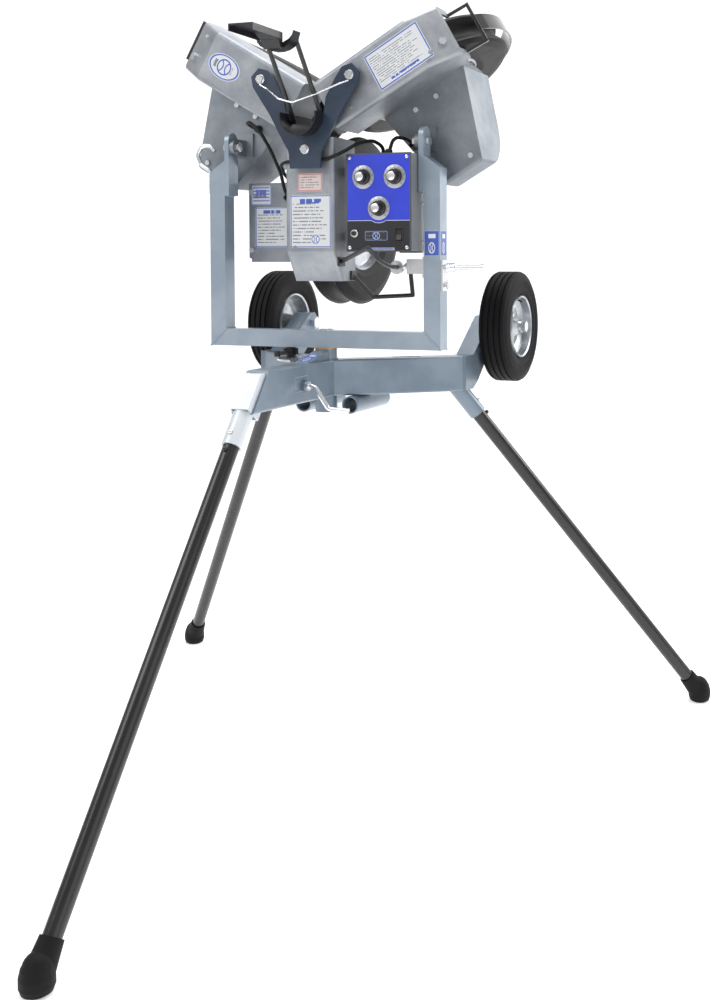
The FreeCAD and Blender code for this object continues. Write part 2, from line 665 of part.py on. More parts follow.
def motor_cover(arm):
    """Cast cover over one motor, bolted to the housing's wall."""
    reach, w = COVER_REACH[arm], COVER_WALL
    outer = prism([V(x, COVER_REAR, zr(r)) for x, r in cover_outline(arm)], V(0, COVER_D, 0))
    inner = prism([V(x, COVER_REAR + w, zr(r)) for x, r in cover_outline(arm, w)], V(0, COVER_D - 2 * w, 0))
    if arm != "lower":
        outer = outer.makeFillet(COVER_ROUND, far_front(outer, reach))
        inner = inner.makeFillet(COVER_ROUND - w, far_front(inner, reach - w))
    soft = [e for e in far_edges(outer, reach) if min(v.Point.y for v in e.Vertexes) < COVER_REAR + 1]
    outer = outer.makeFillet(9.0, soft)
    shell = outer.cut(inner)
    if arm == "lower":
        high = LOWER_COVER_R[1]
        lip = box(-212, -60, COVER_REAR, COVER_REAR + 7, zr(high + 8), zr(high - 12))
        shell = fuse(shell, lip)
    return head_turn(shell, arm)


def motor(arm):
    """Direct-current motor: round case, end bells and a flange on the housing's wall."""
    side = MOTOR_SIDE[arm]
    base = V(side * (HOUSE_W / 2), WHEEL_YC, zr(WHEEL_RC))
    bore = SHAFT_D / 2 + FIT
    length = MOTOR_L
    half = MOTOR_D / 2
    pts = [(bore, 0), (30, 0), (30, 0.4), (half + 4, 0.4), (half + 4, 7), (half - 4, 8), (half - 4, 14),
           (half, 15),
           (half, length - 24), (half - 5, length - 20),
           (half - 8, length), (0, length), (0, length - 12), (bore, length - 12)]
    case = revolve(pts, base, AX * side)
    return head_turn(case, arm)


def throwing_tyre(arm):
    """Moulded tyre with two ridges and a hollow between them that grips the ball."""
    half = WHEEL_W / 2
    ridge = 25.5
    hollow = [(WHEEL_R - GROOVE * math.cos(math.radians(a)), ridge * 0.78 * math.sin(math.radians(a)))
              for a in range(-75, 76, 15)]
    pts = [(HUB_R, -half + 8), (HUB_R + 14, -half), (WHEEL_R - 22, -half), (WHEEL_R - 7, -half + 3.5),
           (WHEEL_R - 1.2, -ridge - 4), (WHEEL_R, -ridge)] + hollow
    pts += [(WHEEL_R, ridge), (WHEEL_R - 1.2, ridge + 4), (WHEEL_R - 7, half - 3.5), (WHEEL_R - 22, half),
            (HUB_R + 14, half), (HUB_R, half - 8)]
    tyre = revolve(pts, V(0, WHEEL_YC, zr(WHEEL_RC)), AX)
    return head_turn(tyre, arm)


def throwing_hub(arm):
    """Dished alloy hub, and the motor shaft that it is keyed to."""
    side = MOTOR_SIDE[arm]
    half = WHEEL_W / 2
    shaft_r = SHAFT_D / 2
    pts = [(HUB_R, -half + 8), (HUB_R, half - 8), (HUB_R - 5, half - 6), (HUB_R - 9, half - 22), (70, 12),
           (34, 16), (28, 30), (shaft_r, 30), (shaft_r, -30), (28, -30), (34, -4), (70, -2),
           (HUB_R - 9, -half + 22), (HUB_R - 5, -half + 6)]
    hub = revolve(pts, V(0, WHEEL_YC, zr(WHEEL_RC)), AX)
    holes = []
    for i in range(5):
        a = math.radians(72 * i + 18)
        holes.append(rod_x(17, -60, 60, WHEEL_YC + 54 * math.cos(a), zr(WHEEL_RC) + 54 * math.sin(a)))
    hub = hub.cut(holes[0].multiFuse(holes[1:]))
    far = side * (HOUSE_W / 2 + MOTOR_L - 12.5)
    x0, x1 = min(far, -side * 33), max(far, -side * 33)
    shaft = rod_x(SHAFT_D, x0, x1, WHEEL_YC, zr(WHEEL_RC))
    return [head_turn(hub, arm), head_turn(shaft, arm)]


def hoop_point(x, deg, r):
    """Point of the guard hoop's circle: 0 degrees is straight outwards, 90 is straight forward."""
    a = math.radians(deg)
    return V(x, WHEEL_YC + r * math.sin(a), zr(WHEEL_RC + r * math.cos(a)))


def guard_hoop(arm):
    """Bright strip round the outside of an upper wheel, with a forked rear foot that clears the tyre."""
    side = MOTOR_SIDE[arm]
    gap_r, out_r, x = WHEEL_R + 15.0, WHEEL_R + 18.0, -HOOP_W / 2
    start, end = HOOP_DEGS
    middle = (start + end) / 2
    outer = [hoop_point(x, a, out_r) for a in (start, middle, end)]
    inner = [hoop_point(x, a, gap_r) for a in (end, middle, start)]
    edges = [Part.Arc(*outer).toShape(), Part.LineSegment(outer[2], inner[0]).toShape(),
             Part.Arc(*inner).toShape(), Part.LineSegment(inner[2], outer[0]).toShape()]
    strip = Part.Face(Part.Wire(edges)).extrude(V(HOOP_W, 0, 0))
    rear = hoop_point(x, start, gap_r)
    bar = box(-48, 48, rear.y - 0.5, rear.y + 4.5, rear.z - 4, rear.z + 3)
    feet = [prism([V(foot_x, rear.y, rear.z), V(foot_x, rear.y + 4, rear.z - 3), V(foot_x, HOUSE_FRONT - 3, zr(HOUSE_R1)),
                   V(foot_x, HOUSE_FRONT - 8, zr(HOUSE_R1))], V(6, 0, 0)) for foot_x in (-48, 42)]
    front = hoop_point(0, end - 4, gap_r)
    x_wall = side * (HOUSE_W / 2 - 7)
    y0, y1, z0, z1 = front.y - 1, front.y + 4, front.z - 9, front.z + 9
    tie = box(min(0, x_wall), max(0, x_wall), y0, y1, z0, z1)
    strap_x = x_wall - side * 4
    strap = box(min(x_wall, strap_x), max(x_wall, strap_x), MOUNT_FRONT - 45, y1, z0, z1)
    return head_turn(fuse(strip, tie, strap, bar, *feet), arm)


# ---------------------------------------------------------------- head: throat, chute, tilt
def throat_plate():
    """Black three-armed plate that ties the housings together behind the ball's way."""
    z = BALL_Z
    right = [(44, 0), (50, 38), (70, 74), (88, 100), (110, 106), (128, 88), (124, 66), (104, 36), (84, 6),
             (52, -52),
             (40, -72), (38, -80), (36, -110)]
    outline = [V(x, PLATE_Y, z + dz) for x, dz in right] + [V(-x, PLATE_Y, z + dz) for x,
                                                            dz in reversed(right)]
    notch_low = [V(44 * math.cos(math.radians(a)), PLATE_Y, z + 44 * math.sin(math.radians(a)))
                 for a in (-165, -150, -135, -120, -105, -90, -75, -60, -45, -30, -15)]
    plate = prism(outline + notch_low, V(0, PLATE_T, 0))
    for x, dz in ((105, 82), (-105, 82), (0, -70)):
        plate = plate.cut(rod_y(9, PLATE_Y - 5, PLATE_Y + 20, x, z + dz))
    return plate


def chute_bar(x):
    """One bar of the chute, from the trough's side up to the saddle."""
    return along(CHUTE_D, V(x, CHUTE_LOW_Y, CHUTE_LOW_Z), V(x, CHUTE_TOP_Y, CHUTE_TOP_Z))


def ball_trough():
    """Half-round guide that carries the ball in to the wheels."""
    tube = rod_y(86.6, -122, 18, 0, BALL_Z).cut(rod_y(80.6, -130, 30, 0, BALL_Z))
    trough = tube.common(box(-60, 60, -130, 30, BALL_Z - 60, BALL_Z + 6))
    for x in (-CHUTE_X, CHUTE_X):
        trough = trough.cut(chute_bar(x))
    return max(trough.Solids, key=lambda s: s.Volume)


def chute_rods():
    """Two bars that carry the feed shelf up and back from the trough."""
    return [chute_bar(x) for x in (-CHUTE_X, CHUTE_X)]


def chute_saddle():
    """Curved cross-piece on the tops of the two bars."""
    y = SADDLE_Y
    sag = [(SADDLE_HALF * math.cos(math.radians(a)), SADDLE_Z - 26 * math.sin(math.radians(a)))
           for a in range(0, 181, 20)]
    top = [V(x, y, z) for x, z in sag]
    low = [V(x * 0.92, y, z - 12) for x, z in reversed(sag)]
    saddle = prism(top + low, V(0, 30, 0))
    for x in (-CHUTE_X, CHUTE_X):
        saddle = saddle.cut(chute_bar(x))
    return max(saddle.Solids, key=lambda s: s.Volume)


def feed_shelf():
    """Flat rest behind the chute, with a turned-down lip on each side and a stem to the saddle."""
    top, half = SHELF_TOP, 27
    y0, y1 = SHELF_REAR, SHELF_FRONT
    plate = box(-half, half, y0, y1, top - 4, top)
    lips = [box(-half, 3 - half, y0, y1, top - 14, top), box(half - 3, half, y0, y1, top - 14, top)]
    foot = SADDLE_Z - 36
    stem = prism([V(-20, y1 - 30, top - 4), V(-20, y1, top - 4), V(-20, SADDLE_Y, foot + 22),
                  V(-20, SADDLE_Y, foot),
                  V(-20, SADDLE_Y - 6, foot), V(-20, SADDLE_Y - 16, foot + 16)], V(40, 0, 0))
    return fuse(plate, stem, *lips)


def ball_wire():
    """Spring wire between the plate's ears that stops a ball from rolling back."""
    z = BALL_Z
    y = PLATE_Y - 3.2
    pts = [V(-105, y, z + 70), V(-86, y - 4, z + 60), V(-44, y - 30, z + 34), V(-8, y - 34, z + 24),
           V(42, y - 28, z + 40), V(88, y - 4, z + 64), V(105, y, z + 70)]
    wire, _ = bent(pts, 3.2, 18)
    return wire


def tilt_rod():
    """Bar bent to an arc about the tilt axis; the clamp's eye slides on it and grips it."""
    def at(deg):
        a = math.radians(deg)
        return V(TILT_X, TILT_R * math.sin(a), PIVOT_Z - TILT_R * math.cos(a))
    front_deg, rear_deg = 14.0, -32.0
    front, rear = at(front_deg), at(rear_deg)
    tangent = V(0, math.cos(math.radians(rear_deg)), math.sin(math.radians(rear_deg)))
    disc = Part.Face(Part.Wire(Part.makeCircle(TILT_ROD_D / 2, rear, tangent)))
    bar = disc.revolve(V(TILT_X, 0, PIVOT_Z), AX, front_deg - rear_deg)
    wall_x = HOUSE_W / 2
    ends = []
    for way in ((front, V(176, 72, 1018), V(96, 40, 1014), V(wall_x, 15, 1062)),
                (rear, V(wall_x, -40, 1092))):
        for p, q in zip(way, way[1:]):
            ends.append(fuse(along(TILT_ROD_D, p, q), Part.makeSphere(TILT_ROD_D / 2, p)))
    bar = fuse(bar, *ends)
    pads = [box(wall_x, wall_x + 4, 3, 27, 1052, 1072), box(wall_x, wall_x + 4, -54, -28, 1082, 1102)]
    return fuse(bar, *pads).cut(box(-60, wall_x, -200, 200, 900, 1300))


def trunnion_bracket(side):
    """Forged lug on the motor cover that the tilt bolt screws into."""
    x1 = YOKE_W / 2 - TUBE - EAR_T - 0.5
    lug = fuse(rod_x(36, x1 - 10, x1, 0, PIVOT_Z),
               box(x1 - 10, x1, 0, COVER_REAR, PIVOT_Z - 18, PIVOT_Z + 18))
    flange = box(x1 - 26, x1 + 16, COVER_REAR - 6, COVER_REAR, PIVOT_Z - 18, PIVOT_Z + 34)
    lug = fuse(lug, flange).cut(rod_x(12, x1 - 12, x1 + 2, 0, PIVOT_Z))
    return lug if side > 0 else mirrored_x(lug)


def head_bolts():
    """Zinc hexagon bolts of the head: tilt bolts, throat plate bolts and cover bolts."""
    out = []
    x_in = YOKE_W / 2 - TUBE
    x1 = x_in - EAR_T - 0.5
    shaft = fuse(rod_x(12, x1 - 10, x_in + 1, 0, PIVOT_Z), hexagon(19, 7, V(x_in + 1, 0, PIVOT_Z), AX),
                 hexagon(19, 8, V(x1 - 10, 0, PIVOT_Z), AX * -1))
    out += [shaft, mirrored_x(shaft)]
    for x, dz in ((105, 82), (-105, 82), (0, -70)):
        out.append(bolt(15, 7, V(x, PLATE_Y, BALL_Z + dz), AY * -1, 8.8, PLATE_T))
    lower_cover = [(-72, 142), (-72, 289), (-210, 150), (-210, 282)]
    upper_cover = [(81, 182), (81, 237), (232, 172), (232, 241)]
    for arm in ARM_DEGS:
        for x, r in lower_cover if arm == "lower" else upper_cover:
            x = x if arm == "lower" else MOTOR_SIDE[arm] * x
            out.append(head_turn(hexagon(11, 5, V(x, COVER_REAR, zr(r)), AY * -1), arm))
    slope = V(0, -(HOUSE_R1 - CHIN_R), -(CHIN_Y - HOUSE_REAR)).normalize()
    for arm in ("right", "left"):
        seat = V(MOTOR_SIDE[arm] * 21,
                 HOUSE_REAR + (330 - CHIN_R) * (CHIN_Y - HOUSE_REAR) / (HOUSE_R1 - CHIN_R), zr(330))
        out.append(head_turn(hexagon(15, 6, seat, slope), arm))
    return out


# ---------------------------------------------------------------- controls
def control_box():
    """Folded steel box, open where the panel closes it, on two rails to the lower housing."""
    shell = box(BOX_X0, BOX_X1, BOX_Y0 + PANEL_T, BOX_Y1, BOX_Z0, BOX_Z1)
    shell = shell.cut(box(BOX_X0 + 2, BOX_X1 - 2, BOX_Y0, BOX_Y1 - 2, BOX_Z0 + 2, BOX_Z1 - 2))
    rails = [box(HOUSE_W / 2, BOX_X0, -24, 12, z, z + 18) for z in (1136, 1276)]
    shell = fuse(shell, *rails)
    shell = shell.cut(box(190, 218, -10, 12, BOX_Z0 - 1, BOX_Z0 + 3))
    return shell


def control_panel():
    panel = box(BOX_X0 - 1, BOX_X1 + 1, BOX_Y0, BOX_Y0 + PANEL_T, BOX_Z0 - 1, BOX_Z1 + 1)
    for x, z in DIALS:
        panel = panel.cut(rod_y(6.1, BOX_Y0 - 1, BOX_Y0 + 5, x, z))
    panel = panel.cut(box(195.2, 208.8, BOX_Y0 - 1, BOX_Y0 + 5, 1137.2, 1160.8))
    return panel.cut(rod_y(9.1, BOX_Y0 - 1, BOX_Y0 + 5, 98, 1152))


def speed_knob(x, z):
    """Fluted skirted knob on its potentiometer spindle."""
    y = BOX_Y0
    skirt = revolve([(3, 0.6), (17, 0.6), (16, 5), (12.5, 7), (11.5, 19), (10, 20.5), (0, 20.5), (0, 0.6)],
                    V(x, y, z), AY * -1)
    flutes = []
    for i in range(12):
        a = math.radians(30 * i)
        flutes.append(rod_y(2.4, y - 22, y - 7.5, x + 12.6 * math.cos(a), z + 12.6 * math.sin(a)))
    knob = skirt.cut(flutes[0].multiFuse(flutes[1:]))
    spindle = rod_y(6, y - 2, y + 8, x, z)
    return fuse(knob, spindle)


def controller_board():
    """Circuit board with its three speed controls and a heat sink, inside the box."""
    board = box(BOX_X0 + 10, BOX_X1 - 10, BOX_Y0 + 28, BOX_Y0 + 30, BOX_Z0 + 12, BOX_Z1 - 14)
    parts = [board]
    for x, z in DIALS:
        parts.append(rod_y(17, BOX_Y0 + 12, BOX_Y0 + 28, x, z))
    sink = box(BOX_X0 + 24, BOX_X1 - 24, BOX_Y0 + 30, BOX_Y0 + 34, BOX_Z0 + 26, BOX_Z0 + 84)
    for i in range(9):
        x = BOX_X0 + 26 + i * 11.6
        sink = fuse(sink, box(x, x + 2.2, BOX_Y0 + 34, BOX_Y0 + 56, BOX_Z0 + 26, BOX_Z0 + 84))
    return parts[0].multiFuse(parts[1:] + [sink])


def rocker_switch():
    """Rocker that turns on a pin along X."""
    y, z, x = BOX_Y0, 1149.0, 202.0
    pts = [V(x - 6, y + 6, z - 10), V(x - 6, y - 0.6, z - 11), V(x - 6, y - 4.5, z - 10.5),
           V(x - 6, y - 0.9, z),
           V(x - 6, y - 1.4, z + 10.5), V(x - 6, y + 0.6, z + 11), V(x - 6, y + 6, z + 7)]
    pin = rod_x(3, x - 6.7, x + 6.7, y + 3, z)
    return fuse(prism(pts, V(12, 0, 0)), pin)


def breaker_button():
    y = BOX_Y0
    return fuse(rod_y(9, y - 7, y + 8, 98, 1152), rod_y(12, y + 5, y + 8, 98, 1152))


def power_inlet():
    """Recessed appliance inlet in the floor of the control box."""
    cup = box(190, 218, -10, 12, BOX_Z0 - 3,
              BOX_Z0 + 22).cut(box(192, 216, -8, 10, BOX_Z0 - 4, BOX_Z0 + 18))
    flange = box(184, 224, -16, 18, BOX_Z0 - 3, BOX_Z0).cut(box(192, 216, -8, 10, BOX_Z0 - 4, BOX_Z0 + 1))
    pins = [box(x - 1, x + 1, -2, 4, BOX_Z0 + 2, BOX_Z0 + 20) for x in (198, 204, 210)]
    return fuse(cup, flange, *pins)


CONDUIT_D = 7.5
BEHIND_PLATE_Y = HOUSE_REAR - 5.6
CONDUITS = {
    "left_motor": (V(-190, 45, 1392), V(-188, 12, 1394), V(-178, -26, 1398), V(-152, -58, 1396),
                   V(-122, -68, 1376),
                   V(-104, -52, 1334), V(-98, -20, 1286), V(-108, 14, 1250), V(-116, 45, 1236)),
    "trunk_upper": (V(-92, 45, 1258), V(-88, 12, 1266), V(-84, -30, 1284), V(-72, -66, 1302),
                    V(-44, -78.6, 1306),
                    V(0, -78.6, 1305), V(44, -78.6, 1308), V(78, -72, 1322), V(104, -48, 1344), V(124, -16,
                                                                                                  1352),
                    V(136, 6, 1340), V(138, 8, 1320)),
    "right_motor": (V(192, 45, 1345), V(189, 12, 1356), V(172, -16, 1358), V(162, -22, 1320)),
}


def motor_conduits():
    out = []
    pressed_on = [housing("lower"), control_box()] + [motor_cover(arm) for arm in ARM_DEGS]
    for name, route in CONDUITS.items():
        tube, length = bent(list(route), CONDUIT_D, 60)
        print("conduit", name, "length %.0f" % length, "volume ratio %.4f" % (
            tube.Volume / (math.pi * CONDUIT_D ** 2 / 4 * length)))
        tube = tube.cut(pressed_on[0].multiFuse(pressed_on[1:]))
        out.append(max(tube.Solids, key=lambda s: s.Volume))
    return out


# ---------------------------------------------------------------- write the pieces
save("base_frame", base_frame())
save("front_sockets", front_sockets())
save("rear_socket", rear_socket())
save("leg_tubes", [leg_tube(n) for n in LEGS] + [leg_stop(n) for n in LEGS])
save("leg_feet", [rubber_foot(n) for n in LEGS])
for leg in LEGS:
    save("snap_button_" + leg, snap_button(leg))
save("wheel_struts", [wheel_strut(1), wheel_strut(-1)])
save("wheel_axles", [wheel_axle(1), wheel_axle(-1)])
save("storage_sleeves", storage_sleeves())
save("post_gusset", post_gusset())
save("swivel_bushes", swivel_bushes())
save("lock_quadrant", lock_quadrant())
save("clamp_crank", clamp_crank())
for tag, side_x in (("right", 1), ("left", -1)):
    save("transport_tyre_" + tag, transport_tyre(side_x))
    save("transport_rim_" + tag, transport_rim(side_x))

save("yoke_frame", yoke_frame())
save("yoke_ears", [yoke_ear(1), yoke_ear(-1)])
save("yoke_spindle", yoke_spindle())
save("tilt_clamp_bracket", tilt_clamp_bracket())
save("tilt_eye_bolt", tilt_eye_bolt())
save("tilt_plate", tilt_plate())
save("tilt_handle", tilt_handle())
save("cord_hook", cord_hook())
save("swivel_lock_knob", swivel_lock_knob())

for arm_name in ARM_DEGS:
    save("housing_" + arm_name, housing(arm_name))
    save("motor_cover_" + arm_name, motor_cover(arm_name))
    save("throwing_tyre_" + arm_name, throwing_tyre(arm_name))
    save("throwing_hub_" + arm_name, throwing_hub(arm_name))
save("motors", [motor(a) for a in ARM_DEGS])
save("guard_hoops", [guard_hoop("right"), guard_hoop("left")])
save("throat_plate", throat_plate())
save("ball_trough", ball_trough())
save("chute_frame", chute_rods() + [chute_saddle()])
save("feed_shelf", feed_shelf())
save("ball_wire", ball_wire())
save("tilt_rod", tilt_rod())
save("trunnion_brackets", [trunnion_bracket(1), trunnion_bracket(-1)])
save("head_bolts", head_bolts())

save("control_box", control_box())
save("control_panel", control_panel())
save("controller_board", controller_board())
for number, (dial_x, dial_z) in enumerate(DIALS, 1):
    save("speed_knob_%d" % number, speed_knob(dial_x, dial_z))
save("rocker_switch", rocker_switch())
save("breaker_button", breaker_button())
save("power_inlet", power_inlet())
save("motor_conduits", motor_conduits())
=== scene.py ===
# %% [markdown]
# # A three-wheel pitching machine
# The CAD part already holds every hard piece in its place. This script gives each of them its finish and
# adds what CAD leaves out: labels, dial plates, screws, weld beads and trim. Everything is in metres, with
# +Z up and +Y the way the ball is thrown.

import math

import bmesh
import bpy
from mathutils import Matrix, Vector


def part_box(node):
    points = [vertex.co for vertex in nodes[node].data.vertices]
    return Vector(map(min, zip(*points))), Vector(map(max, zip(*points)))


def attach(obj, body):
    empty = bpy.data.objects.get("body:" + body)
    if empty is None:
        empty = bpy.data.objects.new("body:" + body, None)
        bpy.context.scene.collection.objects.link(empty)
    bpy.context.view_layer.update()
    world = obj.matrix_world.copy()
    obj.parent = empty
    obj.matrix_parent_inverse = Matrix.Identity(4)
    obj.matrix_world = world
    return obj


MM = 0.001
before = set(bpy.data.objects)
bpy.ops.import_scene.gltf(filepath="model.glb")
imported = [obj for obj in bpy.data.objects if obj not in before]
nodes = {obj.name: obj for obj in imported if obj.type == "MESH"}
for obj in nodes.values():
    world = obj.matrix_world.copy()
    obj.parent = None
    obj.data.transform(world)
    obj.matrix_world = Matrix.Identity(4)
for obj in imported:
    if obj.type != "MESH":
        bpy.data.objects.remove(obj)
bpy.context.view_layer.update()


# %% [markdown]
# ## Writing shader maths as Python
# A finish is a small graph of nodes. Linking dozens of Math nodes by hand is hard to read, so a wrapped
# socket lets `1 - mask * 0.5` add the nodes itself. Every other node comes from one method, `node`.

# %% A socket that does arithmetic
class Wire:
    """Output of a node, ready for sums."""

    def __init__(self, finish, out):
        self.finish, self.out = finish, out

    def _math(self, how, *values):
        return self.finish.node("ShaderNodeMath", {"operation": how}, dict(enumerate(values)))

    def __add__(self, other):
        return self._math("ADD", self, other)

    def __radd__(self, other):
        return self._math("ADD", other, self)

    def __sub__(self, other):
        return self._math("SUBTRACT", self, other)

    def __rsub__(self, other):
        return self._math("SUBTRACT", other, self)

    def __mul__(self, other):
        return self._math("MULTIPLY", self, other)

    def __rmul__(self, other):
        return self._math("MULTIPLY", other, self)

    def __truediv__(self, other):
        return self._math("DIVIDE", self, other)

    def __lt__(self, other):
        return self._math("LESS_THAN", self, other)

    def __gt__(self, other):
        return self._math("GREATER_THAN", self, other)

    def fraction(self):
        return self._math("FRACT", self)

    def whole(self):
        return self._math("FLOOR", self)

    def size(self):
        return self._math("ABSOLUTE", self)

    def least(self, other):
        return self._math("MINIMUM", self, other)

    def most(self, other):
        return self._math("MAXIMUM", self, other)

    def root(self):
        return self._math("SQRT", self)


# %% A finish: one material and its nodes
class Finish:
    """A material under construction; fixed values go straight on the shader's sockets."""

    def __init__(self, name, **fixed):
        self.material = bpy.data.materials.new(name)
        self.material.use_nodes = True
        self.tree = self.material.node_tree
        self.shader = self.tree.nodes["Principled BSDF"]
        for socket, value in fixed.items():
            self.shader.inputs[socket.replace("_", " ")].default_value = value

    def node(self, kind, settings=None, values=None, out=0):
        made = self.tree.nodes.new(kind)
        for key, value in (settings or {}).items():
            setattr(made, key, value)
        for key, value in (values or {}).items():
            self.feed(made.inputs[key], value)
        return Wire(self, made.outputs[out])

    def feed(self, socket, value):
        if isinstance(value, Wire):
            self.tree.links.new(value.out, socket)
        elif isinstance(value, (tuple, list)):
            socket.default_value = (*value, 1) if len(value) == 3 and socket.type == "RGBA" else value
        else:
            socket.default_value = value

    def place(self):
        """Object coordinates, which are the row frame's metres on every piece here."""
        return self.node("ShaderNodeTexCoord", out="Object")

    def split(self, vector):
        return [self.node("ShaderNodeSeparateXYZ", values={0: vector}, out=i) for i in range(3)]

    def noise(self, scale, detail=4.0, roughness=0.55, at=None, stretch=(1, 1, 1)):
        where = self.node("ShaderNodeMapping", values={"Vector": at or self.place(), "Scale": stretch})
        return self.node("ShaderNodeTexNoise", values={"Vector": where, "Scale": scale, "Detail": detail,
                                                       "Roughness": roughness})

    def mix(self, share, one, other):
        return self.node("ShaderNodeMix", {"data_type": "RGBA"}, {0: share, 6: one, 7: other}, out=2)

    def soften(self, value, low, high, to_low=0.0, to_high=1.0):
        return self.node("ShaderNodeMapRange", {"interpolation_type": "SMOOTHSTEP"},
                         {0: value, 1: low, 2: high, 3: to_low, 4: to_high})

    def bump(self, height, depth, strength=0.6):
        return self.node("ShaderNodeBump", values={"Strength": strength, "Distance": depth,
                                                   "Height": height})

    def finish(self, **links):
        for socket, value in links.items():
            self.feed(self.shader.inputs[socket.replace("_", " ")], value)
        return self.material


# %% [markdown]
# ## Finishes of the metalwork
# Paint, castings and plating differ in three ways: how the colour drifts over a hand's width, how rough
# the surface is to the light, and what relief it has at a millimetre. One function takes those three, so
# every metal here is a line of numbers, and castings and brushed steel add a step of their own.

# %% Enamel, castings, plating and powder coat
def layered(name, colour, drift, roughness, spread, grain, depth, metallic=0.0, coat=0.0, patch=9.0):
    """Finish whose colour drifts towards `drift`, with dust-like roughness and a fine relief."""
    f = Finish(name, Metallic=metallic, Coat_Weight=coat, Coat_Roughness=0.12)
    broad = f.soften(f.noise(patch, 5), 0.38, 0.66)
    fine = f.noise(grain, 3, 0.6)
    smudge = f.noise(patch * 4.3, 6, 0.7)
    shade = f.mix(broad * 0.75 + smudge * 0.25, colour, drift)
    return f.finish(Base_Color=shade, Roughness=roughness + (smudge - 0.5) * spread,
                    Normal=f.bump(fine, depth))


def sand_cast(name, colour, dark, patch=13.0):
    """Tumbled casting: soft grey clouds, pin-prick pits and a leathery skin."""
    f = Finish(name, Metallic=0.72, Coat_Weight=0.0)
    clouds = f.soften(f.noise(patch, 7, 0.62), 0.32, 0.7)
    streaks = f.noise(31, 5, 0.65, stretch=(1, 1, 0.35))
    skin = f.noise(520, 4, 0.6)
    cells = f.node("ShaderNodeTexVoronoi", values={"Vector": f.place(), "Scale": 620.0})
    pits = f.soften(cells, 0.05, 0.22, 1.0, 0.0)
    shade = f.mix(clouds * 0.7 + streaks * 0.3, dark, colour)
    shade = f.mix(pits * 0.35, shade, tuple(c * 0.45 for c in dark))
    relief = skin * 0.7 - pits * 0.6 + f.noise(120, 3) * 0.5
    return f.finish(Base_Color=shade, Roughness=0.40 + streaks * 0.16 + pits * 0.15,
                    Normal=f.bump(relief, 0.0005, 0.55))


def plated(name, colour, dull, roughness, way=(1, 1, 1), metallic=1.0):
    """Bright plating with fine brushing along one direction and a faint bloom."""
    f = Finish(name, Metallic=metallic)
    hairs = f.noise(900, 2, 0.5, stretch=way)
    bloom = f.soften(f.noise(42, 5, 0.6), 0.4, 0.75)
    return f.finish(Base_Color=f.mix(bloom * 0.8, colour, dull),
                    Roughness=roughness + bloom * 0.14 + hairs * 0.08,
                    Normal=f.bump(hairs, 0.00008, 0.35))


# The yoke and the base wear one grey-blue enamel in two copies: the yoke's is set lighter as painted light,
# the base's much darker as painted shade, after how the light falls on each.
enamel = layered("grey_blue_enamel", (0.25, 0.31, 0.38), (0.33, 0.39, 0.45), 0.32, 0.16, 900, 0.0001, 0.30,
                 0.35)
base_enamel_painted_shade = layered("base_enamel_painted_shade", (0.13, 0.175, 0.225), (0.19, 0.24, 0.295), 0.34, 0.16, 900, 0.0001,
                      0.30, 0.3)
light_enamel = layered("light_grey_enamel", (0.50, 0.54, 0.59), (0.62, 0.65, 0.69), 0.36, 0.14, 900,
                       0.0001, 0.2, 0.3)
tube_black = layered("gloss_black_coat", (0.004, 0.004, 0.005), (0.010, 0.010, 0.012), 0.28, 0.10, 700,
                     0.00012,
                     0.0, 0.15)
plate_black = layered("blue_black_coat", (0.012, 0.022, 0.045), (0.024, 0.042, 0.075), 0.42, 0.14, 420,
                      0.00025,
                      0.1, 0.2)
satin_black = layered("satin_black_coat", (0.004, 0.004, 0.005), (0.013, 0.013, 0.015), 0.36, 0.14, 560,
                      0.0002,
                      0.0, 0.12)
hoop_gloss = layered("glossy_black_enamel", (0.004, 0.004, 0.005), (0.016, 0.016, 0.018), 0.09, 0.05, 300,
                     0.00006,
                     0.0, 1.0)
casting = sand_cast("sand_cast_aluminium", (0.40, 0.415, 0.44), (0.22, 0.24, 0.27))
cover_casting = sand_cast("motor_cover_casting", (0.31, 0.335, 0.36), (0.17, 0.19, 0.22), 10.0)
zinc = plated("bright_zinc", (0.82, 0.83, 0.85), (0.58, 0.60, 0.63), 0.20)
pressed = plated("pressed_steel_rim", (0.46, 0.48, 0.50), (0.25, 0.27, 0.30), 0.24, (1, 6, 6))
machined = plated("machined_hub", (0.52, 0.53, 0.56), (0.32, 0.34, 0.37), 0.26, (1, 8, 8))
bright_wire = plated("bright_spring_wire", (0.85, 0.85, 0.86), (0.65, 0.66, 0.68), 0.12)
bronze = plated("sintered_bronze", (0.52, 0.33, 0.15), (0.30, 0.19, 0.09), 0.42)
motor_enamel = layered("motor_enamel", (0.015, 0.015, 0.017), (0.04, 0.04, 0.044), 0.36, 0.1, 300, 0.0003,
                       0.2, 0.2)
print("metal finishes:", len(bpy.data.materials))


# %% [markdown]
# ## Rubber and plastic
# Tyres and feet are matt, a little dusty and lighter where they have been rubbed. Moulded plastic has a
# fine spark-eroded texture instead. The cart tyre is slightly darker and less dusty than the feet.

# %% Rubber, urethane, moulded plastic
def rubber(name, colour, dust, roughness, dust_share, grain):
    f = Finish(name, Specular_IOR_Level=0.18)
    film = f.soften(f.noise(17, 6, 0.65), 0.45, 0.8)
    specks = f.soften(f.noise(900, 2), 0.6, 0.75)
    shade = f.mix((film * 0.7 + specks * 0.3) * dust_share, colour, dust)
    skin = f.noise(grain, 3, 0.6) + f.noise(grain * 0.2, 2) * 0.5
    return f.finish(Base_Color=shade, Roughness=roughness + film * 0.12, Normal=f.bump(skin, 0.0003, 0.5))


def moulded(name, colour, worn, roughness, grain=1400):
    f = Finish(name)
    rubbed = f.soften(f.noise(65, 4), 0.5, 0.75)
    return f.finish(Base_Color=f.mix(rubbed * 0.6, colour, worn), Roughness=roughness - rubbed * 0.1,
                    Normal=f.bump(f.noise(grain, 2), 0.00012, 0.5))


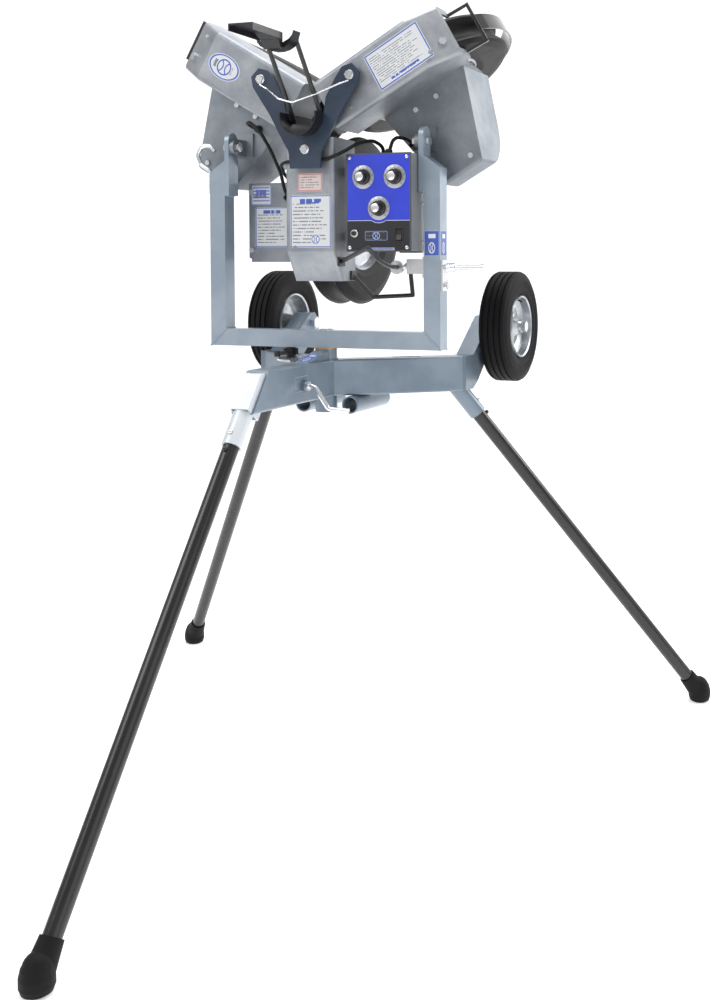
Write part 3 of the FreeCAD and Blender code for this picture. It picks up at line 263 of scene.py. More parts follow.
foot_rubber = rubber("matt_foot_rubber", (0.006, 0.006, 0.007), (0.024, 0.023, 0.023), 0.62, 0.4, 700)
cart_rubber = rubber("cart_tyre_rubber", (0.004, 0.004, 0.005), (0.016, 0.016, 0.016), 0.66, 0.35, 500)
thrower_urethane = rubber("thrower_urethane", (0.008, 0.008, 0.009), (0.030, 0.030, 0.032), 0.44, 0.4, 380)
conduit_rubber = rubber("cable_jacket", (0.010, 0.010, 0.011), (0.03, 0.03, 0.031), 0.42, 0.3, 800)
knob_black = moulded("knob_black", (0.010, 0.010, 0.011), (0.04, 0.04, 0.042), 0.36)
part_black = moulded("moulded_black", (0.012, 0.012, 0.013), (0.045, 0.045, 0.046), 0.44)
board_green = moulded("board_green", (0.010, 0.13, 0.045), (0.05, 0.24, 0.10), 0.40, 2200)
print("finishes so far:", len(bpy.data.materials))


# %% [markdown]
# ## The printed control face
# The face is one printed sheet: blue above, black below, with a thin pale line that dips round the
# lower dial. Object coordinates are metres in the frame, so the print can be drawn from the panel's own
# edges and the dials' centres, and it needs no picture.

# %% The printed face
panel_low, panel_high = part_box("control_panel")
panel_face = panel_low.y
dial_centres = []
for number in (1, 2, 3):
    low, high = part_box("speed_knob_%d" % number)
    dial_centres.append(Vector(((low.x + high.x) / 2, low.y, (low.z + high.z) / 2)))
split_z = dial_centres[2].z - 26 * MM
LINE = 0.9 * MM


def printed_face():
    f = Finish("printed_face", Coat_Weight=0.3, Coat_Roughness=0.2)
    x, y, z = f.split(f.place())
    blue_noise = f.noise(30, 3)
    blue = f.mix(blue_noise, (0.016, 0.036, 0.50), (0.026, 0.052, 0.60))
    black = f.mix(f.noise(60, 3), (0.006, 0.006, 0.008), (0.018, 0.018, 0.022))
    lower = dial_centres[2]
    dx, dz = x - lower.x, z - lower.z
    away = (dx * dx + dz * dz).root()
    inside_arc = away < 31 * MM
    above = (z > split_z).most(inside_arc)
    arc_line = ((away - 31 * MM).size() < LINE / 2) * (z < split_z)
    flat_line = ((z - split_z).size() < LINE / 2) * (1 - inside_arc)
    edge = ((x - (panel_low.x + panel_high.x) / 2).size() > (panel_high.x - panel_low.x) / 2 - 3 * MM).most(
        (z - (panel_low.z + panel_high.z) / 2).size() > (panel_high.z - panel_low.z) / 2 - 3 * MM)
    shade = f.mix(above, black, blue)
    shade = f.mix(arc_line.most(flat_line), shade, (0.72, 0.75, 0.80))
    shade = f.mix(edge, shade, (0.07, 0.07, 0.075))
    return f.finish(Base_Color=shade, Roughness=0.34 + f.noise(300, 2) * 0.08,
                    Normal=f.bump(f.noise(1500, 2), 0.00005, 0.3))


panel_print = printed_face()
print("face is %.0f x %.0f mm" % tuple(1000 * v for v in (panel_high.x - panel_low.x,
                                                          panel_high.z - panel_low.z)))


# %% [markdown]
# ## Dressing the CAD pieces
# Each CAD node keeps its mesh and takes a finish in its slots. The control box is painted like the
# castings' darker coat, so it isn't grouped with the yoke.

# %% Give every CAD node its finish
box_grey = layered("box_grey_coat", (0.20, 0.21, 0.23), (0.28, 0.29, 0.31), 0.42, 0.12, 500, 0.0002, 0.3,
                   0.2)
ARMS = ("lower", "right", "left")
WEAR = {
    # The base's pieces take the darker enamel copy (painted shade); the yoke's take the lighter copy
    # (painted light).
    base_enamel_painted_shade: ("base_frame", "front_sockets", "wheel_struts", "storage_sleeves", "post_gusset"),
    enamel: ("yoke_frame", "yoke_ears"),
    light_enamel: ("rear_socket",),
    tube_black: ("leg_tubes",),
    foot_rubber: ("leg_feet",),
    zinc: ("snap_button_rear", "snap_button_right", "snap_button_left", "wheel_axles", "lock_quadrant",
           "clamp_crank", "yoke_spindle", "tilt_clamp_bracket", "tilt_eye_bolt", "tilt_plate", "tilt_handle",
           "cord_hook", "head_bolts"),
    cart_rubber: ("transport_tyre_right", "transport_tyre_left"),
    pressed: ("transport_rim_right", "transport_rim_left"),
    bronze: ("swivel_bushes",),
    casting: tuple("housing_" + a for a in ARMS),
    cover_casting: tuple("motor_cover_" + a for a in ARMS) + ("trunnion_brackets",),
    machined: tuple("throwing_hub_" + a for a in ARMS),
    thrower_urethane: tuple("throwing_tyre_" + a for a in ARMS),
    motor_enamel: ("motors",),
    hoop_gloss: ("guard_hoops",),
    plate_black: ("throat_plate",),
    satin_black: ("ball_trough", "chute_frame", "feed_shelf", "tilt_rod"),
    bright_wire: ("ball_wire",),
    box_grey: ("control_box",),
    panel_print: ("control_panel",),
    board_green: ("controller_board",),
    knob_black: ("speed_knob_1", "speed_knob_2", "speed_knob_3"),
    part_black: ("swivel_lock_knob", "rocker_switch", "breaker_button", "power_inlet"),
    conduit_rubber: ("motor_conduits",),
}
dressed = set()
for finish, names in WEAR.items():
    for name in names:
        slots = nodes[name].data.materials
        if not slots:
            slots.append(finish)
        for i in range(len(slots)):
            slots[i] = finish
        dressed.add(name)
print("nodes without a finish:", sorted(set(nodes) - dressed))


# %% [markdown]
# ## Building small pieces
# New pieces are meshes with their place in their vertices. `settle` links a mesh, gives it a finish and
# lets it ride on its body; `lathe` turns an outline, which suits caps, washers and plates.

# %% Helpers for meshes
def settle(name, mesh, finish, body, smooth=True):
    piece = bpy.data.objects.new(name, mesh)
    bpy.context.scene.collection.objects.link(piece)
    if not mesh.materials:
        mesh.materials.append(finish)
    for face in mesh.polygons:
        face.use_smooth = smooth
    if smooth:
        mesh.set_sharp_from_angle(angle=math.radians(35))
    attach(piece, body)
    return piece


def mesh_of(bm, name):
    bmesh.ops.remove_doubles(bm, verts=bm.verts, dist=1e-7)
    bmesh.ops.recalc_face_normals(bm, faces=bm.faces)
    mesh = bpy.data.meshes.new(name)
    bm.to_mesh(mesh)
    bm.free()
    return mesh


def turned(bm, outline, centre, axis, steps=48):
    """Adds to bm an outline of (radius, along axis) points turned about the axis; radius 0 closes it."""
    axis = Vector(axis).normalized()
    side = axis.orthogonal().normalized()
    other = axis.cross(side)
    rings = []
    for radius, along in outline:
        spot = Vector(centre) + axis * along
        if radius == 0:
            rings.append([bm.verts.new(spot)])
        else:
            rings.append([bm.verts.new(spot + (side * math.cos(t) + other * math.sin(t)) * radius)
                          for t in (2 * math.pi * i / steps for i in range(steps))])
    for one, two in zip(rings, rings[1:]):
        for i in range(steps):
            j = (i + 1) % steps
            corners = [one[i % len(one)], one[j % len(one)], two[j % len(two)], two[i % len(two)]]
            unique = list(dict.fromkeys(corners))
            if len(unique) > 2:
                bm.faces.new(unique)


def lathe(name, outline, centre, axis, steps=48):
    bm = bmesh.new()
    turned(bm, outline, centre, axis, steps)
    return mesh_of(bm, name)


def arm_point(arm, across, out, y):
    """Point on an arm: across it, out from the ball's axis, and y along the throw."""
    turn = {"lower": 0.0, "right": -120.0, "left": 120.0}[arm]
    ball_axis = Vector((0, y, trough_top - 6 * MM))
    return ball_axis + Matrix.Rotation(math.radians(turn), 3, "Y") @ Vector((across, 0, -out))


trough_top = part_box("ball_trough")[1].z
plate_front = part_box("throat_plate")[1].y
rear_face = plate_front + 11 * MM      # the castings stand one boss, 11 mm, behind the throat plate
cover_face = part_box("motor_cover_lower")[0].y
print("ball axis %.3f m, castings' rear face y %.3f m" % (trough_top - 6 * MM, rear_face))


# %% [markdown]
# ## Geometry Nodes that set fasteners
# Screws, rivets and studs repeat, so one tree puts a shape on every vertex of a point mesh, turned to a
# stored direction, with its own twist. Copies made by hand would work, but a change of screw would then
# mean remaking them all.

# %% Fastener tree
def new_tree(name, inputs):
    tree = bpy.data.node_groups.new(name, "GeometryNodeTree")
    tree.interface.new_socket(name="Geometry", in_out="INPUT", socket_type="NodeSocketGeometry")
    for label, kind, value in inputs:
        socket = tree.interface.new_socket(name=label, in_out="INPUT", socket_type="NodeSocket" + kind)
        if value is not None:
            socket.default_value = value
    tree.interface.new_socket(name="Geometry", in_out="OUTPUT", socket_type="NodeSocketGeometry")
    return tree


def add(tree, kind, settings=None, links=None):
    made = tree.nodes.new(kind)
    for key, value in (settings or {}).items():
        setattr(made, key, value)
    for key, value in (links or {}).items():
        if isinstance(value, bpy.types.NodeSocket):
            tree.links.new(value, made.inputs[key])
        else:
            made.inputs[key].default_value = value
    return made


def close_tree(tree, geometry, given):
    real = add(tree, "GeometryNodeRealizeInstances", links={0: geometry})
    painted = add(tree, "GeometryNodeSetMaterial", links={"Geometry": real.outputs[0],
                                                          "Material": given.outputs["Finish"]})
    out = add(tree, "NodeGroupOutput")
    tree.links.new(painted.outputs[0], out.inputs[0])


fastener_tree = new_tree("set_fasteners", [("Shape", "Object", None), ("Size", "Float", 1.0),
                                           ("Twist", "Float", 6.28),
                                           ("Seed", "Int", 4), ("Finish", "Material", None)])
given = add(fastener_tree, "NodeGroupInput")
shape = add(fastener_tree, "GeometryNodeObjectInfo", links={"Object": given.outputs["Shape"]})
facing = add(fastener_tree, "GeometryNodeInputNamedAttribute", {"data_type": "FLOAT_VECTOR"},
             {"Name": "facing"})
upright = add(fastener_tree, "FunctionNodeAlignRotationToVector", {"axis": "Z"},
              {"Vector": facing.outputs[0]})
twist = add(fastener_tree, "FunctionNodeRandomValue", {"data_type": "FLOAT"},
            {"Max": given.outputs["Twist"], "Seed": given.outputs["Seed"]})
spin_axis = add(fastener_tree, "FunctionNodeAxisAngleToRotation",
                links={"Axis": (0, 0, 1), "Angle": twist.outputs[1]})
turned_way = add(fastener_tree, "FunctionNodeRotateRotation", {"rotation_space": "LOCAL"},
                 {0: upright.outputs[0], 1: spin_axis.outputs[0]})
copies = add(fastener_tree, "GeometryNodeInstanceOnPoints",
             links={"Points": given.outputs["Geometry"], "Instance": shape.outputs["Geometry"],
                    "Rotation": turned_way.outputs[0], "Scale": given.outputs["Size"]})
close_tree(fastener_tree, copies.outputs[0], given)


def grown(name, tree, points, values, finish, body):
    """Runs a tree on a mesh and keeps the result as a plain mesh on its body."""
    seed = bpy.data.objects.new(name + "_seed", points)
    bpy.context.scene.collection.objects.link(seed)
    modifier = seed.modifiers.new("grow", "NODES")
    modifier.node_group = tree
    keys = {item.name: item.identifier for item in tree.interface.items_tree if item.in_out == "INPUT"}
    for label, value in {**values, "Finish": finish}.items():
        modifier[keys[label]] = value
    bpy.context.view_layer.update()
    made = bpy.data.meshes.new_from_object(seed.evaluated_get(bpy.context.evaluated_depsgraph_get()))
    seed.modifiers.remove(modifier)
    bpy.data.objects.remove(seed)
    made.name = name
    return settle(name, made, finish, body)


def spots(places):
    """Point mesh of (position, direction) pairs."""
    mesh = bpy.data.meshes.new("spots")
    mesh.from_pydata([tuple(p) for p, _ in places], [], [])
    facing_way = mesh.attributes.new("facing", "FLOAT_VECTOR", "POINT")
    for entry, (_, way) in zip(facing_way.data, places):
        entry.vector = tuple(way)
    return mesh


def stamp(name, outline, steps=24, slot_cut=None):
    """Hidden shape that a tree copies: a turned head, with a cross recess if asked."""
    bm = bmesh.new()
    turned(bm, outline, (0, 0, 0), (0, 0, 1), steps)
    if slot_cut:
        long, wide, top = slot_cut
        for a, b in ((long, wide), (wide, long)):
            made = bmesh.ops.create_cube(bm, size=1.0)["verts"]
            bmesh.ops.scale(bm, verts=made, vec=(a, b, 0.3 * MM))
            bmesh.ops.translate(bm, verts=made, vec=(0, 0, top))
    mesh = mesh_of(bm, name)
    shape_object = bpy.data.objects.new(name, mesh)
    bpy.context.scene.collection.objects.link(shape_object)
    return shape_object


pan_head = stamp("pan_head", [(0, -1 * MM), (3.6 * MM, -1 * MM), (3.6 * MM, 0.5 * MM), (3.1 * MM, 1.6 * MM),
                              (1.8 * MM, 2.2 * MM), (0, 2.3 * MM)], slot_cut=(3.4 * MM, 0.7 * MM, 2.2 * MM))
washer = stamp("washer", [(4 * MM, 0), (9.5 * MM, 0), (9.5 * MM, 1.3 * MM), (9.1 * MM, 1.6 * MM),
                          (4 * MM, 1.6 * MM),
                          (4 * MM, 0)], 32)
print("trees:", [t.name for t in bpy.data.node_groups])


# %% [markdown]
# ## Screws of the control face and the box
# Four pan-head screws hold the face, one in each corner, and the box has three on its outer side.

# %% Control box screws
INSET = 9 * MM
corners = [(x, z) for x in (panel_low.x + INSET, panel_high.x - INSET) for z in (panel_low.z + INSET,
        panel_high.z - INSET)]
face_screws = [(Vector((x, panel_face, z)), Vector((0, -1, 0))) for x, z in corners]
box_low, box_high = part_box("control_box")
side_screws = [(Vector((box_high.x, box_low.y + 62 * MM, z)), Vector((1, 0, 0)))
               for z in (box_low.z + 20 * MM, (box_low.z + box_high.z) / 2, box_high.z - 20 * MM)]
grown("panel_screws", fastener_tree, spots(face_screws + side_screws), {"Shape": pan_head, "Size": 1.15,
        "Seed": 7},
      zinc, "head")
print("box screws:", len(face_screws + side_screws))


# %% [markdown]
# ## Dial plates
# Behind each speed knob lies a thin silver plate with a scale of ticks and the numbers 0 to 10. The ticks
# follow an arc, so a tree bends a curve, spaces points on it and lays one bar on each. The numbers are
# text turned into a mesh, because a font object can't be baked.

# %% Silver plates and their ticks
SWEEP = math.radians(270)
PLATE_R = 25 * MM
TICKS = 41


def dial_silver():
    f = Finish("dial_silver", Metallic=0.85)
    hairs = f.noise(1500, 2, stretch=(1, 1, 14))
    return f.finish(Base_Color=f.mix(hairs, (0.36, 0.37, 0.39), (0.50, 0.51, 0.53)),
                    Roughness=0.34 + hairs * 0.1,
                    Normal=f.bump(hairs, 0.00004, 0.3))


silver = dial_silver()
ink = layered("scale_ink", (0.010, 0.010, 0.012), (0.03, 0.03, 0.034), 0.5, 0.1, 900, 0.00002)

tick_tree = new_tree("dial_ticks", [("Radius", "Float", 0.02), ("Count", "Int", 41), ("Sweep", "Float", 4.7),
                                    ("Length", "Float", 0.003), ("Width", "Float", 0.0004), ("Finish",
                                            "Material", None)])
given = add(tick_tree, "NodeGroupInput")
arc = add(tick_tree, "GeometryNodeCurveArc", {"mode": "RADIUS"},
          {"Resolution": 96, "Radius": given.outputs["Radius"], "Start Angle": math.radians(-45),
           "Sweep Angle": given.outputs["Sweep"]})
beads = add(tick_tree, "GeometryNodeResampleCurve", links={"Curve": arc.outputs[0],
                                                           "Count": given.outputs["Count"]})
tangent = add(tick_tree, "GeometryNodeInputTangent")
along_arc = add(tick_tree, "FunctionNodeAlignRotationToVector", {"axis": "Y"},
                {"Vector": tangent.outputs[0]})
bar_size = add(tick_tree, "ShaderNodeCombineXYZ", links={"X": given.outputs["Length"],
                                                         "Y": given.outputs["Width"],
                                                         "Z": 0.0002})
bar = add(tick_tree, "GeometryNodeMeshCube", links={"Size": bar_size.outputs[0]})
laid = add(tick_tree, "GeometryNodeInstanceOnPoints", links={"Points": beads.outputs[0],
                                                             "Instance": bar.outputs[0],
                                                             "Rotation": along_arc.outputs[0]})
put = add(tick_tree, "GeometryNodeTransform", links={"Geometry": laid.outputs[0]})
close_tree(tick_tree, put.outputs[0], given)


def number_mesh(text, size):
    curve = bpy.data.curves.new("number", "FONT")
    curve.body, curve.size, curve.extrude = text, size, 0.05 * MM
    curve.align_x, curve.align_y = "CENTER", "CENTER"
    holder = bpy.data.objects.new("number", curve)
    bpy.context.scene.collection.objects.link(holder)
    bpy.context.view_layer.update()
    mesh = bpy.data.meshes.new_from_object(holder.evaluated_get(bpy.context.evaluated_depsgraph_get()))
    bpy.data.objects.remove(holder)
    return mesh


FACE_TURN = Matrix.Rotation(math.radians(90), 4, "X")      # a drawing in XY stands up and faces -Y
for number, centre in enumerate(dial_centres, 1):
    on_face = Vector((centre.x, panel_face, centre.z))
    outline = [(6.3 * MM, 0), (PLATE_R, 0), (PLATE_R, 0.5 * MM), (PLATE_R - 0.5 * MM, 0.8 * MM),
               (6.3 * MM, 0.8 * MM),
               (6.3 * MM, 0)]
    settle("dial_plate_%d" % number, lathe("dial_plate", outline, on_face, (0, -1, 0), 72), silver, "head")
    seed = bpy.data.meshes.new("seed")
    ticks = grown("dial_ticks_%d" % number, tick_tree, seed,
                  {"Radius": 18.6 * MM, "Count": TICKS, "Sweep": SWEEP, "Length": 3.0 * MM,
                   "Width": 0.6 * MM},
                  ink, "head")
    ticks.data.transform(Matrix.Translation(on_face + Vector((0, -0.85 * MM, 0))) @ FACE_TURN)
    bm = bmesh.new()
    for value in range(11):
        angle = math.radians(225) - SWEEP * value / 10
        spot = Vector((22.2 * MM * math.cos(angle), 22.2 * MM * math.sin(angle), 0))
        digit = number_mesh(str(value), 5.0 * MM)
        digit.transform(Matrix.Translation(on_face + Vector((0, -0.86 * MM,
                                                             0))) @ FACE_TURN @ Matrix.Translation(spot))
        bm.from_mesh(digit)
    mesh = bpy.data.meshes.new("dial_numbers")
    bm.to_mesh(mesh)
    bm.free()
    settle("dial_numbers_%d" % number, mesh, ink, "head", smooth=False)
print("dial plates:", len(dial_centres), "with", TICKS, "ticks each")


# %% [markdown]
# ## Knob caps
# Each knob has a turned aluminium cap let into its top and a white line on its skirt. Both turn with it.

# %% Caps and pointer lines
cap_face = plated("spun_cap", (0.82, 0.83, 0.84), (0.66, 0.67, 0.69), 0.22, (30, 1, 1))
white_ink = layered("white_ink", (0.70, 0.71, 0.72), (0.82, 0.82, 0.82), 0.45, 0.1, 900, 0.00002)
for number, centre in enumerate(dial_centres, 1):
    body = "dial_%d" % number
    outline = [(0, -0.5 * MM), (9.4 * MM, -0.5 * MM), (9.4 * MM, 0.5 * MM), (8.8 * MM, 1.0 * MM),
               (8.2 * MM, 0.7 * MM),
               (0, 0.6 * MM)]
    settle("knob_cap_%d" % number, lathe("knob_cap", outline, centre, (0, -1, 0), 48), cap_face, body)
    bm = bmesh.new()
    made = bmesh.ops.create_cube(bm, size=1.0)["verts"]
    bmesh.ops.scale(bm, verts=made, vec=(1.0 * MM, 0.5 * MM, 5.0 * MM))
    bmesh.ops.bevel(bm, geom=bm.edges[:], offset=0.12 * MM, segments=2, affect="EDGES")
    bmesh.ops.translate(bm, verts=bm.verts, vec=centre + Vector((0, 15.0 * MM, 14.2 * MM)))
    settle("knob_line_%d" % number, mesh_of(bm, "knob_line"), white_ink, body)
print("knobs capped:", len(dial_centres))


# %% [markdown]
# ## Labels
# The labels are printed vinyl, a quarter of a millimetre thick, with rounded corners. Each one is a
# thin plate with its own UV map, so the print follows it at any angle. The print is generic: borders, rows
# of grey bars that stand for small type, and a plain ball mark.

# %% Printed vinyl
BLUE = (0.045, 0.10, 0.42)
PAPER = (0.60, 0.615, 0.63)


def vinyl(name, border, rows, paper=PAPER, colour=BLUE, heading=0.16, aspect=1.0, ball=None, bands=None,
          oval=False):
    """Border, a heading bar, rows of broken bars and, if asked, a ball mark at (u, v, radius)."""
    f = Finish(name, Coat_Weight=0.35, Coat_Roughness=0.15)
    u, v, _ = f.split(f.node("ShaderNodeUVMap", {"uv_map": "UVMap"}))
    from_edge = (0.5 - (u - 0.5).size()).least((0.5 - (v - 0.5).size()) * aspect)
    if oval:
        from_edge = 0.5 - ((u - 0.5) * (u - 0.5) + (v - 0.5) * (v - 0.5)).root()
    ring = (from_edge > border * 0.35) * (from_edge < border)
    inside = from_edge > border * 1.9
    row = v * rows
    cell = f.node("ShaderNodeCombineXYZ", values={"X": (u * 46).whole(), "Y": row.whole()})
    word = f.node("ShaderNodeTexWhiteNoise", {"noise_dimensions": "2D"}, {"Vector": cell})
    line_end = f.node("ShaderNodeTexWhiteNoise", {"noise_dimensions": "1D"}, {"W": row.whole()})
    printed = (row.fraction() > 0.34) * (row.fraction() < 0.66) * (word > 0.22)
    bars = printed * (u < line_end * 0.35 + 0.58) * inside
    bars = bars * (v < 1 - heading)
    title = (v > 1 - heading) * (v < 1 - heading * 0.45) * ((u - 0.5).size() < 0.26) * (word > 0.12) * inside
    shade = f.mix(f.noise(40, 4) * 0.35, paper, tuple(c * 0.86 for c in paper))
    shade = f.mix(bars * 0.85, shade, (0.10, 0.105, 0.125))
    shade = f.mix(title.most(ring), shade, colour)
    if bands:
        band = (v * bands).fraction() < 0.5
        shade = f.mix(band * inside * 0.85, shade, colour)
    if ball:
        ball_u, ball_v, radius = ball
        du, dv = u - ball_u, (v - ball_v) * aspect
        disc = (du * du + dv * dv).root()
        seam_left = ((du + radius * 1.15) * (du + radius * 1.15) + dv * dv).root() - radius * 0.95
        seam_right = ((du - radius * 1.15) * (du - radius * 1.15) + dv * dv).root() - radius * 0.95
        seams = (seam_left.size() < radius * 0.09).most(seam_right.size() < radius * 0.09) * (disc < radius)
        clear = disc < radius * 1.25
        shade = f.mix(clear, shade, paper)
        shade = f.mix(((disc - radius).size() < radius * 0.1).most(seams), shade, colour)
    scuffs = f.noise(210, 5, 0.7)
    return f.finish(Base_Color=shade, Roughness=0.36 + scuffs * 0.14, Normal=f.bump(scuffs, 0.00004, 0.3))


def label(name, centre, across, up, width, height, finish, body, corner=4 * MM, thick=0.25 * MM, steps=6,
          oval=False):
    """Thin rounded plate standing on its centre; across x up points away from the surface."""
    across, up = Vector(across).normalized(), Vector(up).normalized()
    away = across.cross(up)
    bm = bmesh.new()
    uv = bm.loops.layers.uv.new("UVMap")
    spots_2d = []
    for quarter in range(4):
        sx, sy = ((1, 1), (-1, 1), (-1, -1), (1, -1))[quarter]
        for i in range(steps + 1):
            t = math.pi / 2 * (quarter + i / steps)
            if oval:
                spots_2d.append((width / 2 * math.cos(t), height / 2 * math.sin(t)))
            else:
                spots_2d.append((sx * (width / 2 - corner) + corner * math.cos(t),
                                 sy * (height / 2 - corner) + corner * math.sin(t)))
    if oval:
        spots_2d = [one for one, two in zip(spots_2d, spots_2d[1:] + spots_2d[:1]) if math.dist(one,
                two) > 1e-6]
    layers = [[bm.verts.new(Vector(centre) + across * x + up * y + away * lift) for x, y in spots_2d]
              for lift in (-0.1 * MM, thick)]
    bm.faces.new(layers[1])
    bm.faces.new(list(reversed(layers[0])))
    count = len(spots_2d)
    for i in range(count):
        j = (i + 1) % count
        bm.faces.new([layers[0][i], layers[0][j], layers[1][j], layers[1][i]])
    for face in bm.faces:
        for loop in face.loops:
            offset = loop.vert.co - Vector(centre)
            loop[uv].uv = (offset.dot(across) / width + 0.5, offset.dot(up) / height + 0.5)
    mesh = bpy.data.meshes.new(name)
    bm.to_mesh(mesh)
    bm.free()
    return settle(name, mesh, finish, body, smooth=False)


# %% Labels on the arms
def arm_ways(arm):
    origin = arm_point(arm, 0, 0, 0)
    return (arm_point(arm, 1, 0, 0) - origin), (arm_point(arm, 0, 1, 0) - origin)


notice = vinyl("notice_print", 0.030, 17, aspect=85 / 146)
sideways, outward = arm_ways("right")
label("arm_notice", arm_point("right", -3 * MM, 240 * MM, rear_face), outward, -sideways, 138 * MM,
      84 * MM, notice,
      "head")
mark = vinyl("ball_mark_print", 0.075, 1, aspect=56 / 84, heading=0.0, ball=(0.5, 0.5, 0.2), oval=True)
sideways, outward = arm_ways("left")
label("ball_mark", arm_point("left", 3 * MM, 235 * MM, rear_face), -outward, sideways, 84 * MM, 54 * MM,
      mark, "head",
      steps=16, oval=True)
operator = vinyl("operator_print", 0.030, 15, aspect=112 / 97, ball=(0.62, 0.16, 0.09))
label("operator_notice", arm_point("lower", 3.5 * MM, 222 * MM, rear_face), (1, 0, 0), (0, 0, 1), 97 * MM,
      112 * MM,
      operator, "head")
rosy = vinyl("rating_print", 0.05, 7, paper=(0.60, 0.50, 0.49), colour=(0.45, 0.17, 0.16), aspect=40 / 57)
label("rating_plate", arm_point("lower", 3 * MM, 139 * MM, rear_face), (1, 0, 0), (0, 0, 1), 57 * MM,
      38 * MM, rosy,
      "head", corner=2 * MM)

# %% Labels on the lower motor cover, the yoke, the box and the base
table_print = vinyl("speed_table_print", 0.030, 13, aspect=90 / 85)
label("speed_table", Vector((-159 * MM, cover_face, 1.170)), (1, 0, 0), (0, 0, 1), 84 * MM, 90 * MM,
      table_print, "head")
banner = vinyl("banner_print", 0.04, 1, colour=(0.10, 0.14, 0.44), heading=0.5, aspect=50 / 52, bands=6)
label("cover_banner", Vector((-186 * MM, cover_face, 1.243)), (1, 0, 0), (0, 0, 1), 50 * MM, 44 * MM,
      banner, "head",
      corner=2 * MM)
yoke_low, yoke_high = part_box("yoke_frame")
yoke_print = vinyl("yoke_print", 0.02, 3, paper=BLUE, colour=(0.7, 0.72, 0.78), heading=0.3,
                   ball=(0.5, 0.32, 0.2))
yoke_z = 1.131
label("yoke_label_rear", Vector((yoke_high.x - 19 * MM, yoke_low.y, yoke_z)), (1, 0, 0), (0, 0, 1),
      34 * MM, 54 * MM,
      yoke_print, "yoke", corner=1.5 * MM)
label("yoke_label_side", Vector((yoke_high.x, (yoke_low.y + yoke_high.y) / 2, yoke_z)), (0, 1, 0),
      (0, 0, 1), 30 * MM,
      54 * MM, yoke_print, "yoke", corner=1.5 * MM)
strip_print = vinyl("strip_print", 0.06, 2, aspect=0.1, heading=0.0)
label("face_caption", Vector(((panel_low.x + panel_high.x) / 2, panel_face, panel_low.z + 6 * MM)),
      (1, 0, 0), (0, 0, 1),
      74 * MM, 5 * MM, strip_print, "head", corner=1 * MM)
emblem_print = vinyl("face_emblem_print", 0.02, 3, paper=(0.018, 0.020, 0.030), colour=(0.35, 0.45, 0.85),
                     aspect=0.4,
                     heading=0.0, ball=(0.5, 0.5, 0.15))
label("face_emblem", Vector((panel_low.x + 70 * MM, panel_face, panel_low.z + 34 * MM)), (1, 0, 0),
      (0, 0, 1), 52 * MM,
      20 * MM, emblem_print, "head", corner=3 * MM)
gusset_low, gusset_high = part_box("post_gusset")
slope_up = Vector((0, gusset_high.y - gusset_low.y, gusset_high.z - gusset_low.z)).normalized()
gusset_middle = Vector((0, (gusset_low.y + gusset_high.y) / 2,
                        (gusset_low.z + gusset_high.z) / 2)) - slope_up * 12 * MM
label("base_label", gusset_middle, (1, 0, 0), slope_up, 30 * MM, 56 * MM, yoke_print, "base",
      corner=1.5 * MM)


# %% [markdown]
# ## Weld beads
# A weld is a row of overlapping scales along a joint. A tree resamples a line to one point every few
# millimetres, lays a flattened ball on each with a random size, and merges them into one rippled bead.

# %% Weld tree
bead_tree = new_tree("weld_bead", [("Radius", "Float", 0.003), ("Step", "Float", 0.0024),
                                   ("Unevenness", "Float", 0.2),
                                   ("Seed", "Int", 3), ("Finish", "Material", None)])
given = add(bead_tree, "NodeGroupInput")
line = add(bead_tree, "GeometryNodeMeshToCurve", links={"Mesh": given.outputs["Geometry"]})
steps = add(bead_tree, "GeometryNodeResampleCurve", {"mode": "LENGTH"},
            {"Curve": line.outputs[0], "Length": given.outputs["Step"]})
run = add(bead_tree, "GeometryNodeInputTangent")
lay = add(bead_tree, "FunctionNodeAlignRotationToVector", {"axis": "Z"}, {"Vector": run.outputs[0]})
low = add(bead_tree, "ShaderNodeMath", {"operation": "SUBTRACT"}, {0: 1.0, 1: given.outputs["Unevenness"]})
uneven = add(bead_tree, "FunctionNodeRandomValue", {"data_type": "FLOAT"},
             {"Min": low.outputs[0], "Max": 1.0, "Seed": given.outputs["Seed"]})
size = add(bead_tree, "ShaderNodeMath", {"operation": "MULTIPLY"},
           {0: uneven.outputs[1], 1: given.outputs["Radius"]})
scale = add(bead_tree, "ShaderNodeVectorMath", {"operation": "SCALE"},
            {0: (1.0, 1.0, 0.62), "Scale": size.outputs[0]})
ball = add(bead_tree, "GeometryNodeMeshIcoSphere", links={"Radius": 1.0, "Subdivisions": 2})
scales = add(bead_tree, "GeometryNodeInstanceOnPoints",
             links={"Points": steps.outputs[0], "Instance": ball.outputs[0], "Rotation": lay.outputs[0],
                    "Scale": scale.outputs[0]})
close_tree(bead_tree, scales.outputs[0], given)


def seams(lines):
    mesh = bpy.data.meshes.new("seams")
    points, edges = [], []
    for one in lines:
        start = len(points)
        points += [tuple(p) for p in one]
        edges += [(i, i + 1) for i in range(start, len(points) - 1)]
    mesh.from_pydata(points, edges, [])
    return mesh


